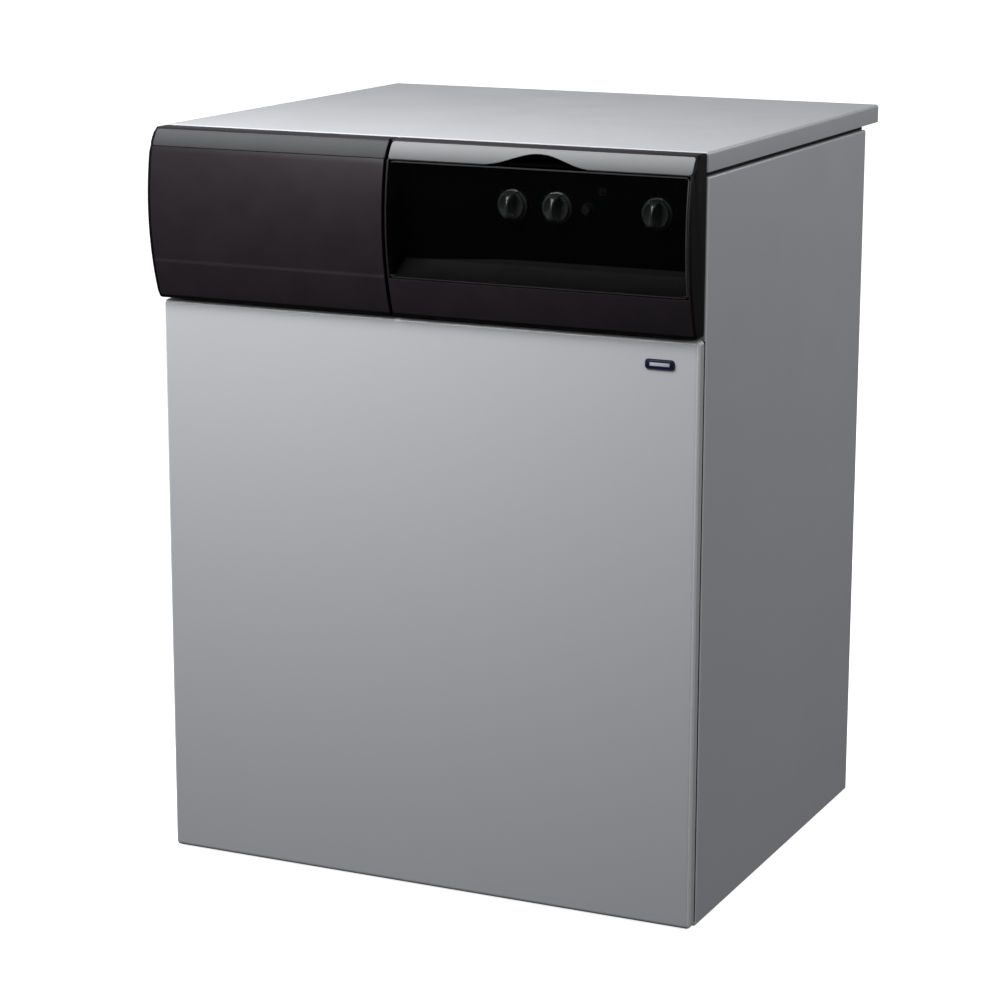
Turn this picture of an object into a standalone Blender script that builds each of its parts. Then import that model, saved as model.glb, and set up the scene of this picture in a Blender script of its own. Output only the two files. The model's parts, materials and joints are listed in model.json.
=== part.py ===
"""Floor-standing cast-iron gas boiler with an atmospheric burner and a built-in hot water cylinder.

Metres, +Z up. The front faces -Y, +X is to the right seen from the front, and the origin is on the floor
under the middle of the casing. Every name that ends in _BOX is (lowest corner, highest corner).
"""

import math

import bmesh
import bpy
from mathutils import Matrix, Vector

# Overall size
WIDTH = 0.650
HEIGHT = 0.850
FRONT_Y = -0.308
REAR_Y = 0.308
GAP = 0.0003

# Casing
SHEET = 0.0015
PANEL_FRONT_Y = -0.262
PANEL_REAR_Y = 0.260
PANEL_TOP_Z = 0.824
PANEL_RETURN = 0.016
PANEL_RADIUS = 0.002
LID_BOTTOM_Z = 0.829
LID_FRONT_Y = -0.2645
LID_RADIUS = 0.003
BASE_TOP_Z = 0.030
BASE_WALL = 0.002
PAN_FRONT_Y = -0.280
PAN_REAR_Y = -0.2665
PAN_TOP_Z = 0.6535
PAN_FLOOR_GAP = 0.0015
PAN_RADIUS = 0.005
BADGE_CENTRE = (0.2810, 0.6265)
BADGE_SIZE = (0.0335, 0.0135)
BADGE_THICKNESS = 0.0015
SEAL_WIDTH = 0.014
SEAL_INSET = 0.004
BACK_FOLD = 0.012
BACK_DRILL_Y = (0.24, 0.28)
PIPE_HOLE_RADIUS = 0.016
CROSSBAR_Y = (PANEL_FRONT_Y + 0.003, -0.236)
CROSSBAR_Z = (0.632, 0.668)

# Fascia: its front is an arc about an axis along X
FASCIA_BOTTOM_Z = 0.657
FASCIA_REAR_Y = -0.2665
FASCIA_WALL = 0.0025
FASCIA_RADIUS = 0.300
FASCIA_CENTRE_Y = FRONT_Y + FASCIA_RADIUS
BULGE_Z = 0.765
BAND_BOTTOM_Z = 0.829
BAND_TOP = (-0.2885, 0.8475)
BAND_EDGE_Y = -0.2865
BAND_STEP = 0.0008
FASCIA_TOP_Z = 0.849
SPLIT_X = -0.030
SPLIT_GAP = 0.003
CAP_THICKNESS = 0.003
JAMB = 0.0015
WINDOW_BOTTOM_Z = 0.7000
WINDOW_TOP_Z = 0.8285
NOTCH_X = 0.1465
NOTCH_WIDTH = 0.125
NOTCH_TOP_Z = 0.8413
WINDOW_CUT_Y = (-0.320, -0.290)
NOTCH_CUT_Y = (-0.320, -0.2875)

# Smoked flap, hinged along its lower edge
FLAP_THICKNESS = 0.003
FLAP_CLEARANCE = 0.0008
FLAP_BARREL_RADIUS = 0.0015
FLAP_AXIS = (-0.3005, 0.7022)
FLAP_TOP_Z = 0.8272

# Control panel behind the flap
TUB_FRONT_Y = -0.2950
TUB_REAR_Y = -0.2648
TUB_BOTTOM_Z = 0.6985
TUB_TOP_Z = 0.8310
TUB_WALL = 0.002
PLATE_DRILL_Y = (-0.270, -0.250)
LEDGE_FRONT = (-0.2942, 0.7012)
LEDGE_REAR = (-0.2662, 0.7165)
KNOB_Z = 0.783
KNOB_X = {"mode_knob": 0.105, "heating_knob": 0.157, "hot_water_knob": 0.271}
KNOB_RADIUS = 0.0175
KNOB_BODY_RADIUS = 0.0148
KNOB_BACK_Y = -0.2673
KNOB_SKIRT = 0.0035
KNOB_BODY = 0.004
GRIP_WIDTH = 0.0065
GRIP_LENGTH = 0.031
GRIP_FRONT_Y = -0.2865
SPINDLE_RADIUS = 0.003
SPINDLE_END_Y = -0.2588
SPINDLE_HOLE_RADIUS = 0.0038
BUTTON = (0.1915, 0.783)
BUTTON_RADIUS = 0.005
BUTTON_BACK_Y = -0.2697
BUTTON_RISE = 0.0045
BUTTON_STEM_RADIUS = 0.0026
BUTTON_HOLE_RADIUS = 0.0032
LAMP = (0.208, 0.803)
LAMP_RADIUS = 0.003
LAMP_STEM_RADIUS = 0.0022
LAMP_HOLE_RADIUS = 0.0026
STEM_END_Y = -0.2600
SWITCH_HALF = 0.016
SWITCH_FRONT_Y = -0.2582
CONTROL_BOX = ((-0.018, -0.2602, 0.675), (0.306, -0.160, 0.819))
BOARD_BOX = ((0.000, -0.1780, 0.695), (0.290, -0.1764, 0.805))
RELAY_X = (0.030, 0.070, 0.110)
RELAY_WIDTH = 0.020
RELAY_Y = (-0.200, -0.177)
RELAY_Z = (0.715, 0.745)
TRANSFORMER_BOX = ((0.215, -0.222, 0.712), (0.270, -0.177, 0.760))

# Right bay: exchanger, flue and burner
BOILER_X = 0.147
SECTION_WIDTH = 0.260
SECTION_BOTTOM_Z = 0.215
SECTION_TOP_Z = 0.585
SECTION_FRONT_Y = -0.130
SECTION_DEPTH = 0.096
SECTION_GAP = 0.002
STAND_WIDTH = 0.236
STAND_FRONT_Y = -0.122
STAND_REAR_Y = 0.158
CHAMBER_WIDTH = 0.204
CHAMBER_TOP_Z = 0.330
CHAMBER_END_WALL = 0.018
FLUEWAY_COUNT = 5
FLUEWAY_PITCH = 0.040
FLUEWAY_WIDTH = 0.020
FLUEWAY_DEPTH = 0.012
ROD_OFFSET_X = 0.118
ROD_Z = 0.568
ROD_RADIUS = 0.005
ROD_NUT_RADIUS = 0.009
JACKET_WALL = 0.016
JACKET_TOP_Z = 0.6035
HOOD_BOX = ((0.032, -0.125, 0.605), (0.262, 0.235, 0.795))
HOOD_SLOPE = 0.120
HOOD_DRILL_Y = (0.22, 0.25)
DRAUGHT_SLOT_HALF = 0.090
DRAUGHT_SLOT_Z = (0.6155, 0.6400)
JACKET_OPENING = ((0.047, -0.105, 0.580), (0.247, 0.145, 0.620))
FLUE_Z = 0.715
FLUE_RADIUS = 0.065
BACK_HOLE_RADIUS = 0.068
BAR_COUNT = 4
BAR_PITCH = 0.048
BAR_WIDTH = 0.028
BAR_BOTTOM_Z = 0.140
BAR_TOP_Z = 0.178
BAR_FRONT_Y = -0.108
BAR_REAR_Y = 0.138
TRAY_FRONT_Y = -0.128
TRAY_REAR_Y = 0.150
TRAY_HALF_WIDTH = 0.100
TRAY_BOTTOM_Z = 0.118
BURNER_PLATE_HALF_WIDTH = 0.125
BURNER_PLATE_BOTTOM_Z = 0.110
BURNER_PLATE_Y = (TRAY_FRONT_Y - 0.0165, TRAY_FRONT_Y - 0.0145)
BURNER_DRILL_Y = (-0.160, -0.130)
PORT_COUNT = 9
PORT_HALF = 0.0025
MOUTH_RADIUS = 0.0105
SIGHT_HOLE_Z = 0.197
SIGHT_HOLE_RADIUS = 0.009
MANIFOLD_Y = -0.190
MANIFOLD_Z = 0.157
MANIFOLD_RADIUS = 0.010
VALVE_BOX = ((0.196, -0.235, 0.215), (0.264, -0.172, 0.285))
PIPE_END_Y = 0.300
GAS_COCK = (0.300, -0.204, 0.250)
GAS_COCK_HALF = 0.013
COCK_STEM_Y = -0.242
COCK_LEVER_LENGTH = 0.048
COCK_LEVER_WIDTH = 0.010

# Left bay: storage cylinder, pump and expansion vessel
CYLINDER = (-0.177, 0.093)
CYLINDER_RADIUS = 0.122
CYLINDER_BOTTOM_Z = 0.040
CYLINDER_TOP_Z = 0.735
CYLINDER_FOOT_RADIUS = 0.078
CYLINDER_FOOT_Z = 0.0045
CYLINDER_WALL = 0.016
CYLINDER_SHELL = 0.003
CYLINDER_PORT_RADIUS = 0.012
PUMP = (-0.105, 0.150)
PUMP_RADIUS = 0.044
PUMP_FRONT_Y = -0.225
PUMP_JOINT_Y = -0.150
PUMP_REAR_Y = -0.100
PUMP_PORT_REACH = 0.068
VANE_REACH = 0.034
VESSEL = (-0.177, 0.500)
VESSEL_RADIUS = 0.130
VESSEL_Y = (-0.250, -0.160)
VESSEL_WALL = 0.003
VESSEL_PORT_RADIUS = 0.006
PARTITION_X = -0.030
PARTITION_Y = (-0.140, 0.245)
PARTITION_TOP_Z = 0.800
WATER_PIPE_RADIUS = 0.0095
GAS_PIPE_RADIUS = 0.0075
FLOW_LEVEL_Z = 0.545
FLOW_LINE_X = -0.025
FLOW_LINE_Y = -0.165

# Where each pipe leaves through the back panel: x and z
REAR_PIPES = {
    "gas_inlet_pipe": (GAS_COCK[0], 0.055),
    "return_pipe": (0.047, 0.250),
    "pump_outlet_pipe": (-0.060, 0.055),
    "hot_water_pipe": (CYLINDER[0], 0.765),
    "cold_water_pipe": (CYLINDER[0], 0.150),
}

# Colours as linear RGB, roughness, metallic
FINISHES = {
    "painted_steel": ((0.45, 0.46, 0.47), 0.42, 0.0),
    "dark_plastic": ((0.020, 0.016, 0.019), 0.38, 0.0),
    "black_plastic": ((0.008, 0.008, 0.008), 0.30, 0.0),
    "smoked_acrylic": ((0.010, 0.012, 0.011), 0.06, 0.0),
    "rubber": ((0.012, 0.012, 0.012), 0.75, 0.0),
    "galvanised_steel": ((0.42, 0.44, 0.45), 0.40, 0.9),
    "cast_iron": ((0.060, 0.058, 0.056), 0.70, 0.6),
    "stainless_steel": ((0.50, 0.49, 0.47), 0.28, 1.0),
    "mineral_wool": ((0.52, 0.45, 0.26), 0.95, 0.0),
    "brass": ((0.58, 0.40, 0.14), 0.32, 1.0),
    "cast_aluminium": ((0.45, 0.46, 0.47), 0.48, 0.9),
    "yellow_plastic": ((0.75, 0.48, 0.02), 0.40, 0.0),
    "brown_plastic": ((0.11, 0.06, 0.03), 0.50, 0.0),
    "copper": ((0.62, 0.26, 0.15), 0.30, 1.0),
    "red_enamel": ((0.42, 0.018, 0.014), 0.35, 0.0),
    "circuit_green": ((0.010, 0.110, 0.035), 0.45, 0.0),
    "lamp_lens": ((0.50, 0.16, 0.02), 0.12, 0.0),
    "badge_blue": ((0.012, 0.020, 0.090), 0.25, 0.0),
}

# Each plane's outline axes and the axis that the outline is extruded along
PLANES = {
    "YZ": (Vector((0, 1, 0)), Vector((0, 0, 1)), Vector((1, 0, 0))),
    "XZ": (Vector((1, 0, 0)), Vector((0, 0, 1)), Vector((0, -1, 0))),
    "XY": (Vector((1, 0, 0)), Vector((0, 1, 0)), Vector((0, 0, 1))),
}
DIRECTIONS = {"X": Vector((1, 0, 0)), "Y": Vector((0, 1, 0)), "Z": Vector((0, 0, 1))}


def clear_scene():
    for obj in list(bpy.data.objects):
        bpy.data.objects.remove(obj)


def new_collection(name):
    collection = bpy.data.collections.new(name)
    bpy.context.scene.collection.children.link(collection)
    return collection


def make_material(name, colour, roughness, metallic):
    material = bpy.data.materials.new(name)
    material.use_nodes = True
    shader = material.node_tree.nodes["Principled BSDF"]
    shader.inputs["Base Color"].default_value = (*colour, 1.0)
    shader.inputs["Roughness"].default_value = roughness
    shader.inputs["Metallic"].default_value = metallic
    return material


clear_scene()
PARTS = new_collection("gas_boiler")
CUTTERS = new_collection("cutters")
CUTTERS.hide_render = True
MATERIALS = {name: make_material(name, *finish) for name, finish in FINISHES.items()}


def keep(obj, name, finish):
    """Names an object, puts it with the parts and gives it its material."""
    obj.name = name
    obj.data.name = name
    for collection in list(obj.users_collection):
        collection.objects.unlink(obj)
    PARTS.objects.link(obj)
    obj.data.materials.clear()
    obj.data.materials.append(MATERIALS[finish])
    obj.data.shade_smooth()
    obj.data.set_sharp_from_angle(angle=math.radians(35))
    return obj


def as_tool(obj, name):
    """Makes an object a helper of a Boolean, which isn't a part."""
    obj.name = name
    for collection in list(obj.users_collection):
        collection.objects.unlink(obj)
    CUTTERS.objects.link(obj)
    obj.hide_render = True
    obj.display_type = "WIRE"
    return obj


def add_bevel(obj, width, segments=2):
    bevel = obj.modifiers.new("rounded_edges", "BEVEL")
    bevel.width = width
    bevel.segments = segments
    bevel.limit_method = "ANGLE"
    return obj


def boolean(obj, tools, operation):
    for tool in tools:
        as_tool(tool, f"{obj.name}_{operation.lower()}_tool")
        modifier = obj.modifiers.new(operation.lower(), "BOOLEAN")
        modifier.operation = operation
        modifier.solver = "EXACT"
        modifier.object = tool
    return obj


def cut(obj, *tools):
    return boolean(obj, tools, "DIFFERENCE")


def fuse(obj, *tools):
    return boolean(obj, tools, "UNION")


def block(low, high, bevel=0.0, segments=2):
    """A box between two corners."""
    low, high = Vector(low), Vector(high)
    bpy.ops.mesh.primitive_cube_add(size=1, location=(low + high) / 2)
    obj = bpy.context.object
    obj.data.transform(Matrix.Diagonal((*(high - low), 1)))
    return add_bevel(obj, bevel, segments) if bevel else obj


def tray(low, high, open_side, wall=SHEET, bevel=0.0, segments=2):
    """A folded sheet pan: a box whose face towards open_side, such as -Z, is left off."""
    obj = block(low, high)
    direction = DIRECTIONS[open_side[1]] * (1 if open_side[0] == "+" else -1)
    shape = bmesh.new()
    shape.from_mesh(obj.data)
    open_face = max(shape.faces, key=lambda face: face.normal.dot(direction))
    bmesh.ops.delete(shape, geom=[open_face], context="FACES")
    shape.to_mesh(obj.data)
    shape.free()
    if bevel:
        add_bevel(obj, bevel, segments)
    solidify = obj.modifiers.new("sheet", "SOLIDIFY")
    solidify.thickness = wall
    solidify.offset = -1
    solidify.use_even_offset = True
    return obj


def along(axis):
    """The rotation that turns +Z to the named axis."""
    return DIRECTIONS["Z"].rotation_difference(DIRECTIONS[axis]).to_matrix().to_4x4()


def rod(centre, axis, start, end, radius, sides=16):
    """A cylinder along axis from start to end, whose centre gives its other two coordinates."""
    middle = Vector(centre)
    middle["XYZ".index(axis)] = (start + end) / 2
    depth = abs(end - start)
    bpy.ops.mesh.primitive_cylinder_add(vertices=sides, radius=radius, depth=depth, location=middle)
    obj = bpy.context.object
    obj.data.transform(along(axis))
    return obj


def from_curve(curve_object, weld=1e-6):
    """The mesh of a curve object, its caps joined to its sides."""
    graph = bpy.context.evaluated_depsgraph_get()
    mesh = bpy.data.meshes.new_from_object(curve_object.evaluated_get(graph))
    shape = bmesh.new()
    shape.from_mesh(mesh)
    bmesh.ops.remove_doubles(shape, verts=shape.verts, dist=weld)
    bmesh.ops.recalc_face_normals(shape, faces=shape.faces)
    shape.to_mesh(mesh)
    shape.free()
    obj = bpy.data.objects.new("mesh", mesh)
    bpy.context.scene.collection.objects.link(obj)
    obj.matrix_world = curve_object.matrix_world
    bpy.data.objects.remove(curve_object)
    return obj


def outline(points, plane, start, end):
    """A flat outline in one of PLANES, extruded from start to end along the third axis."""
    across, up, normal = PLANES[plane]
    curve = bpy.data.curves.new("outline", "CURVE")
    curve.dimensions = "2D"
    curve.fill_mode = "BOTH"
    curve.extrude = abs(end - start) / 2
    spline = curve.splines.new("POLY")
    spline.points.add(len(points) - 1)
    for point, (u, v) in zip(spline.points, points):
        point.co = (u, v, 0, 1)
    spline.use_cyclic_u = True
    obj = bpy.data.objects.new("outline", curve)
    bpy.context.scene.collection.objects.link(obj)
    turn = Matrix((across, up, normal)).transposed().to_4x4()
    centre = normal * ((start + end) / 2) * (-1 if plane == "XZ" else 1)
    obj.matrix_world = Matrix.Translation(centre) @ turn
    bpy.context.view_layer.update()
    return from_curve(obj)


def pipe(points, radius):
    """A bent round pipe along a line of points."""
    curve = bpy.data.curves.new("pipe", "CURVE")
    curve.dimensions = "3D"
    curve.bevel_depth = radius
    curve.bevel_resolution = 2
    curve.use_fill_caps = True
    line = softened(points, radius * 2.2)
    spline = curve.splines.new("POLY")
    spline.points.add(len(line) - 1)
    for point, place in zip(spline.points, line):
        point.co = (*place, 1)
    obj = bpy.data.objects.new("pipe", curve)
    bpy.context.scene.collection.objects.link(obj)
    bpy.context.view_layer.update()
    return from_curve(obj)


def softened(points, reach, steps=3):
    """The points with each inner corner replaced by a short bend."""
    places = [Vector(point) for point in points]
    line = [places[0]]
    for before, corner, after in zip(places, places[1:], places[2:]):
        start = corner + (before - corner).normalized() * reach
        end = corner + (after - corner).normalized() * reach
        for step in range(steps + 1):
            t = step / steps
            line.append(start * (1 - t) ** 2 + corner * 2 * t * (1 - t) + end * t**2)
    line.append(places[-1])
    return line


def turned(profile, centre, axis="Z", steps=32, closed=False):
    """A profile of (radius, height) points, down its outer side, turned about axis through centre."""
    mesh = bpy.data.meshes.new("turned")
    vertices = [(radius, 0, height) for radius, height in profile]
    edges = [(i, i + 1) for i in range(len(profile) - 1)]
    if closed:
        edges.append((len(profile) - 1, 0))
    mesh.from_pydata(vertices, edges, [])
    obj = bpy.data.objects.new("turned", mesh)
    bpy.context.scene.collection.objects.link(obj)
    screw = obj.modifiers.new("turn", "SCREW")
    screw.steps = steps
    screw.render_steps = steps
    screw.use_merge_vertices = True
    screw.merge_threshold = 1e-6
    screw.use_smooth_shade = True
    bpy.context.view_layer.update()
    graph = bpy.context.evaluated_depsgraph_get()
    solid = bpy.data.meshes.new_from_object(obj.evaluated_get(graph))
    solid.transform(along(axis))
    bpy.data.objects.remove(obj)
    result = bpy.data.objects.new("turned", solid)
    bpy.context.scene.collection.objects.link(result)
    result.location = centre
    return result


def move_origin(obj, point):
    """Puts an object's origin on its joint's axis and leaves its shape where it is."""
    bpy.context.view_layer.update()
    shift = Vector(point) - obj.location
    obj.data.transform(Matrix.Translation(-shift))
    obj.location = point
    return obj


def hang_on(parent_name, point, *children):
    """Parents pieces that move together to an empty at a point of their joint's axis."""
    parent = bpy.data.objects.new(parent_name, None)
    parent.empty_display_size = 0.02
    parent.location = point
    PARTS.objects.link(parent)
    bpy.context.view_layer.update()
    for child in children:
        child.parent = parent
        child.matrix_parent_inverse = parent.matrix_world.inverted()
    return parent


# ---------------------------------------------------------------- casing


def make_side_panel(name, side):
    outer = side * WIDTH / 2
    inner = outer - side * PANEL_RETURN
    low = (min(outer, inner), PANEL_FRONT_Y, 0)
    high = (max(outer, inner), PANEL_REAR_Y, PANEL_TOP_Z)
    open_side = "-X" if side > 0 else "+X"
    keep(tray(low, high, open_side, bevel=PANEL_RADIUS), name, "painted_steel")


def make_lid():
    low = (-WIDTH / 2, LID_FRONT_Y, LID_BOTTOM_Z)
    high = (WIDTH / 2, REAR_Y, HEIGHT)
    keep(tray(low, high, "-Z", bevel=LID_RADIUS, segments=3), "lid", "painted_steel")


def make_seal(name, side):
    outer = side * (WIDTH / 2 - SEAL_INSET)
    inner = outer - side * SEAL_WIDTH
    low = (min(outer, inner), PANEL_FRONT_Y + SEAL_INSET, PANEL_TOP_Z + GAP)
    high = (max(outer, inner), PANEL_REAR_Y - SEAL_INSET, LID_BOTTOM_Z - GAP)
    keep(block(low, high), name, "rubber")


def make_base():
    """The base pan, with the three-sided stand that carries the exchanger welded to it."""
    inset = SHEET + GAP
    low = (-WIDTH / 2 + inset, PANEL_FRONT_Y + inset, inset)
    high = (WIDTH / 2 - inset, PANEL_REAR_Y - inset, BASE_TOP_Z)
    pan = tray(low, high, "+Z", wall=BASE_WALL)
    half = STAND_WIDTH / 2
    stand = [
        (BOILER_X - half, STAND_FRONT_Y),
        (BOILER_X - half + BASE_WALL, STAND_FRONT_Y),
        (BOILER_X - half + BASE_WALL, STAND_REAR_Y - BASE_WALL),
        (BOILER_X + half - BASE_WALL, STAND_REAR_Y - BASE_WALL),
        (BOILER_X + half - BASE_WALL, STAND_FRONT_Y),
        (BOILER_X + half, STAND_FRONT_Y),
        (BOILER_X + half, STAND_REAR_Y),
        (BOILER_X - half, STAND_REAR_Y),
    ]
    walls = outline(stand, "XY", inset + BASE_WALL / 2, SECTION_BOTTOM_Z - GAP)
    keep(fuse(pan, walls), "base_frame", "galvanised_steel")


def make_back_panel():
    side = WIDTH / 2 - PANEL_RETURN - GAP
    low = (-side, PANEL_REAR_Y - BACK_FOLD, BASE_TOP_Z + 0.001)
    high = (side, PANEL_REAR_Y, PANEL_TOP_Z - 0.002)
    panel = tray(low, high, "-Y", bevel=0.001, segments=1)
    holes = [rod((BOILER_X, 0, FLUE_Z), "Y", *BACK_DRILL_Y, BACK_HOLE_RADIUS, 32)]
    for x, z in REAR_PIPES.values():
        holes.append(rod((x, 0, z), "Y", *BACK_DRILL_Y, PIPE_HOLE_RADIUS, 12))
    keep(cut(panel, *holes), "back_panel", "galvanised_steel")


def make_front_panel():
    low = (-WIDTH / 2, PAN_FRONT_Y, PAN_FLOOR_GAP)
    high = (WIDTH / 2, PAN_REAR_Y, PAN_TOP_Z)
    panel = keep(tray(low, high, "+Y", bevel=PAN_RADIUS, segments=3), "front_panel", "painted_steel")
    x, z = BADGE_CENTRE
    half_width, half_height = BADGE_SIZE[0] / 2, BADGE_SIZE[1] / 2
    front = PAN_FRONT_Y - GAP - BADGE_THICKNESS
    low = (x - half_width, front, z - half_height)
    high = (x + half_width, PAN_FRONT_Y - GAP, z + half_height)
    badge = keep(block(low, high, bevel=0.0005, segments=1), "badge_plate", "badge_blue")
    hang_on("front_panel_slide", (0, PAN_FRONT_Y, 0), panel, badge)


def make_frame_members():
    side = WIDTH / 2 - PANEL_RETURN - GAP
    low = (-side, CROSSBAR_Y[0], CROSSBAR_Z[0])
    high = (side, CROSSBAR_Y[1], CROSSBAR_Z[1])
    keep(tray(low, high, "+Y"), "front_crossbar", "galvanised_steel")
    low = (PARTITION_X - SHEET / 2, PARTITION_Y[0], BASE_TOP_Z + 0.002)
    high = (PARTITION_X + SHEET / 2, PARTITION_Y[1], PARTITION_TOP_Z)
    keep(block(low, high), "bay_partition", "galvanised_steel")


# ---------------------------------------------------------------- fascia


def front_y(z, inset=0.0):
    """The y of the fascia's front arc at a height, inset from its outer surface."""
    reach = FASCIA_RADIUS - inset
    return FASCIA_CENTRE_Y - math.sqrt(reach**2 - (z - BULGE_Z) ** 2)


def arc(start_z, end_z, steps, inset=0.0):
    heights = [start_z + (end_z - start_z) * i / steps for i in range(steps + 1)]
    return [(front_y(z, inset), z) for z in heights]


def fascia_outside():
    """The fascia's profile, from its rear top edge over the front to its rear bottom edge."""
    band_bottom = (front_y(BAND_BOTTOM_Z) + BAND_STEP, BAND_BOTTOM_Z)
    top = [(FASCIA_REAR_Y, FASCIA_TOP_Z), (BAND_EDGE_Y, FASCIA_TOP_Z), BAND_TOP, band_bottom]
    front = arc(BAND_BOTTOM_Z - 0.0004, FASCIA_BOTTOM_Z, 9)
    return top + front + [(FASCIA_REAR_Y, FASCIA_BOTTOM_Z)]


def fascia_inside():
    """The inner side of the fascia's wall, from bottom to top."""
    bottom_z = FASCIA_BOTTOM_Z + FASCIA_WALL
    band_bottom = (front_y(BAND_BOTTOM_Z, FASCIA_WALL), BAND_BOTTOM_Z - FASCIA_WALL)
    front = arc(bottom_z, band_bottom[1], 9, FASCIA_WALL)
    top_z = FASCIA_TOP_Z - FASCIA_WALL
    return [(FASCIA_REAR_Y, bottom_z), *front, (BAND_TOP[0] + FASCIA_WALL, top_z), (FASCIA_REAR_Y, top_z)]


def make_fascia_shell(start_x, end_x, wall_start, wall_end):
    """The open shell between two x places, with an end wall beside the split."""
    shell = outline(fascia_outside() + fascia_inside(), "YZ", start_x, end_x)
    return fuse(shell, outline(fascia_outside(), "YZ", wall_start, wall_end))


def make_left_cover():
    start = -WIDTH / 2 + CAP_THICKNESS + GAP
    end = SPLIT_X - SPLIT_GAP / 2
    keep(make_fascia_shell(start, end, end - JAMB, end), "fascia_left_cover", "dark_plastic")


def notch_tool():
    """A bell-shaped cutter for the finger notch in the top band."""
    steps = 12
    half = NOTCH_WIDTH / 2
    foot_z = WINDOW_TOP_Z - 0.004
    points = [(NOTCH_X + half, foot_z), (NOTCH_X - half, foot_z)]
    rise = NOTCH_TOP_Z - WINDOW_TOP_Z
    for i in range(steps + 1):
        t = i / steps
        height = WINDOW_TOP_Z + rise * (1 - math.cos(2 * math.pi * t)) / 2
        points.append((NOTCH_X + NOTCH_WIDTH * (t - 0.5), height))
    return outline(points, "XZ", *NOTCH_CUT_Y)


def make_right_frame():
    start = SPLIT_X + SPLIT_GAP / 2
    end = WIDTH / 2 - CAP_THICKNESS - GAP
    low = (start + JAMB, WINDOW_CUT_Y[0], WINDOW_BOTTOM_Z)
    window = block(low, (end - JAMB, WINDOW_CUT_Y[1], WINDOW_TOP_Z))
    frame = cut(make_fascia_shell(start, end, start, start + JAMB), window, notch_tool())
    keep(frame, "fascia_right_frame", "dark_plastic")


def make_end_cap(name, side):
    outer = side * WIDTH / 2
    profile = fascia_outside()
    cap = outline(profile, "YZ", *sorted((outer, outer - side * CAP_THICKNESS)))
    keep(cap, name, "black_plastic")


def make_flap():
    start = SPLIT_X + SPLIT_GAP / 2 + JAMB + FLAP_CLEARANCE
    end = WIDTH / 2 - CAP_THICKNESS - GAP - JAMB - FLAP_CLEARANCE
    axis_y, axis_z = FLAP_AXIS
    outside = arc(FLAP_TOP_Z, axis_z, 9)
    inside = arc(axis_z, FLAP_TOP_Z, 9, FLAP_THICKNESS)
    sheet = outline(outside + inside, "YZ", start, end)
    barrel = rod((0, axis_y, axis_z), "X", start, end, FLAP_BARREL_RADIUS, 12)
    flap = keep(fuse(sheet, barrel), "control_flap", "smoked_acrylic")
    hang_on("flap_hinge_axis", (SPLIT_X, axis_y, axis_z), flap)


# ---------------------------------------------------------------- controls


def make_control_panel():
    start = SPLIT_X + SPLIT_GAP / 2 + JAMB + GAP
    end = WIDTH / 2 - CAP_THICKNESS - 2 * GAP
    low = (start, TUB_FRONT_Y, TUB_BOTTOM_Z)
    high = (end, TUB_REAR_Y, TUB_TOP_Z)
    tub = tray(low, high, "-Y", wall=TUB_WALL)
    foot_z = TUB_BOTTOM_Z + TUB_WALL / 2
    slope = [(LEDGE_FRONT[0], foot_z), LEDGE_FRONT, LEDGE_REAR, (LEDGE_REAR[0], foot_z)]
    ledge = outline(slope, "YZ", start + TUB_WALL / 2, end - TUB_WALL / 2)
    drilled = [(x, KNOB_Z, SPINDLE_HOLE_RADIUS) for x in KNOB_X.values()]
    drilled += [(*BUTTON, BUTTON_HOLE_RADIUS), (*LAMP, LAMP_HOLE_RADIUS)]
    holes = [rod((x, 0, z), "Y", *PLATE_DRILL_Y, radius, 12) for x, z, radius in drilled]
    keep(cut(fuse(tub, ledge), *holes), "control_panel", "black_plastic")


def make_knob(name, x):
    back = KNOB_BACK_Y
    skirt = back - KNOB_SKIRT
    face = skirt - KNOB_BODY
    profile = [
        (0, -SPINDLE_END_Y),
        (SPINDLE_RADIUS, -SPINDLE_END_Y),
        (SPINDLE_RADIUS, -back),
        (KNOB_RADIUS, -back),
        (KNOB_RADIUS, -skirt - 0.001),
        (KNOB_RADIUS - 0.001, -skirt),
        (KNOB_BODY_RADIUS, -skirt),
        (KNOB_BODY_RADIUS - 0.001, -face),
        (0, -face),
    ]
    flipped = [(radius, -height) for radius, height in profile]
    body = turned(flipped, (x, 0, KNOB_Z), "Y")
    half_width, half_length = GRIP_WIDTH / 2, GRIP_LENGTH / 2
    low = (x - half_width, GRIP_FRONT_Y, KNOB_Z - half_length)
    high = (x + half_width, skirt - 0.001, KNOB_Z + half_length)
    knob = keep(fuse(body, block(low, high, bevel=0.0018)), name, "black_plastic")
    move_origin(knob, (x, KNOB_BACK_Y, KNOB_Z))


def make_button_and_lamp():
    x, z = BUTTON
    back, front = BUTTON_BACK_Y, BUTTON_BACK_Y - BUTTON_RISE
    profile = [
        (0, STEM_END_Y),
        (BUTTON_STEM_RADIUS, STEM_END_Y),
        (BUTTON_STEM_RADIUS, back),
        (BUTTON_RADIUS, back),
        (BUTTON_RADIUS, front + 0.0008),
        (BUTTON_RADIUS - 0.0008, front),
        (0, front),
    ]
    button = keep(turned(profile, (x, 0, z), "Y", 20), "reset_button", "black_plastic")
    move_origin(button, (x, back, z))
    x, z = LAMP
    back = TUB_REAR_Y - TUB_WALL - GAP
    profile = [
        (0, STEM_END_Y),
        (LAMP_STEM_RADIUS, STEM_END_Y),
        (LAMP_STEM_RADIUS, back),
        (LAMP_RADIUS, back),
        (LAMP_RADIUS, back - 0.0010),
        (LAMP_RADIUS * 0.6, back - 0.0024),
        (0, back - 0.0028),
    ]
    keep(turned(profile, (x, 0, z), "Y", 16), "indicator_lamp", "lamp_lens")


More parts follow.
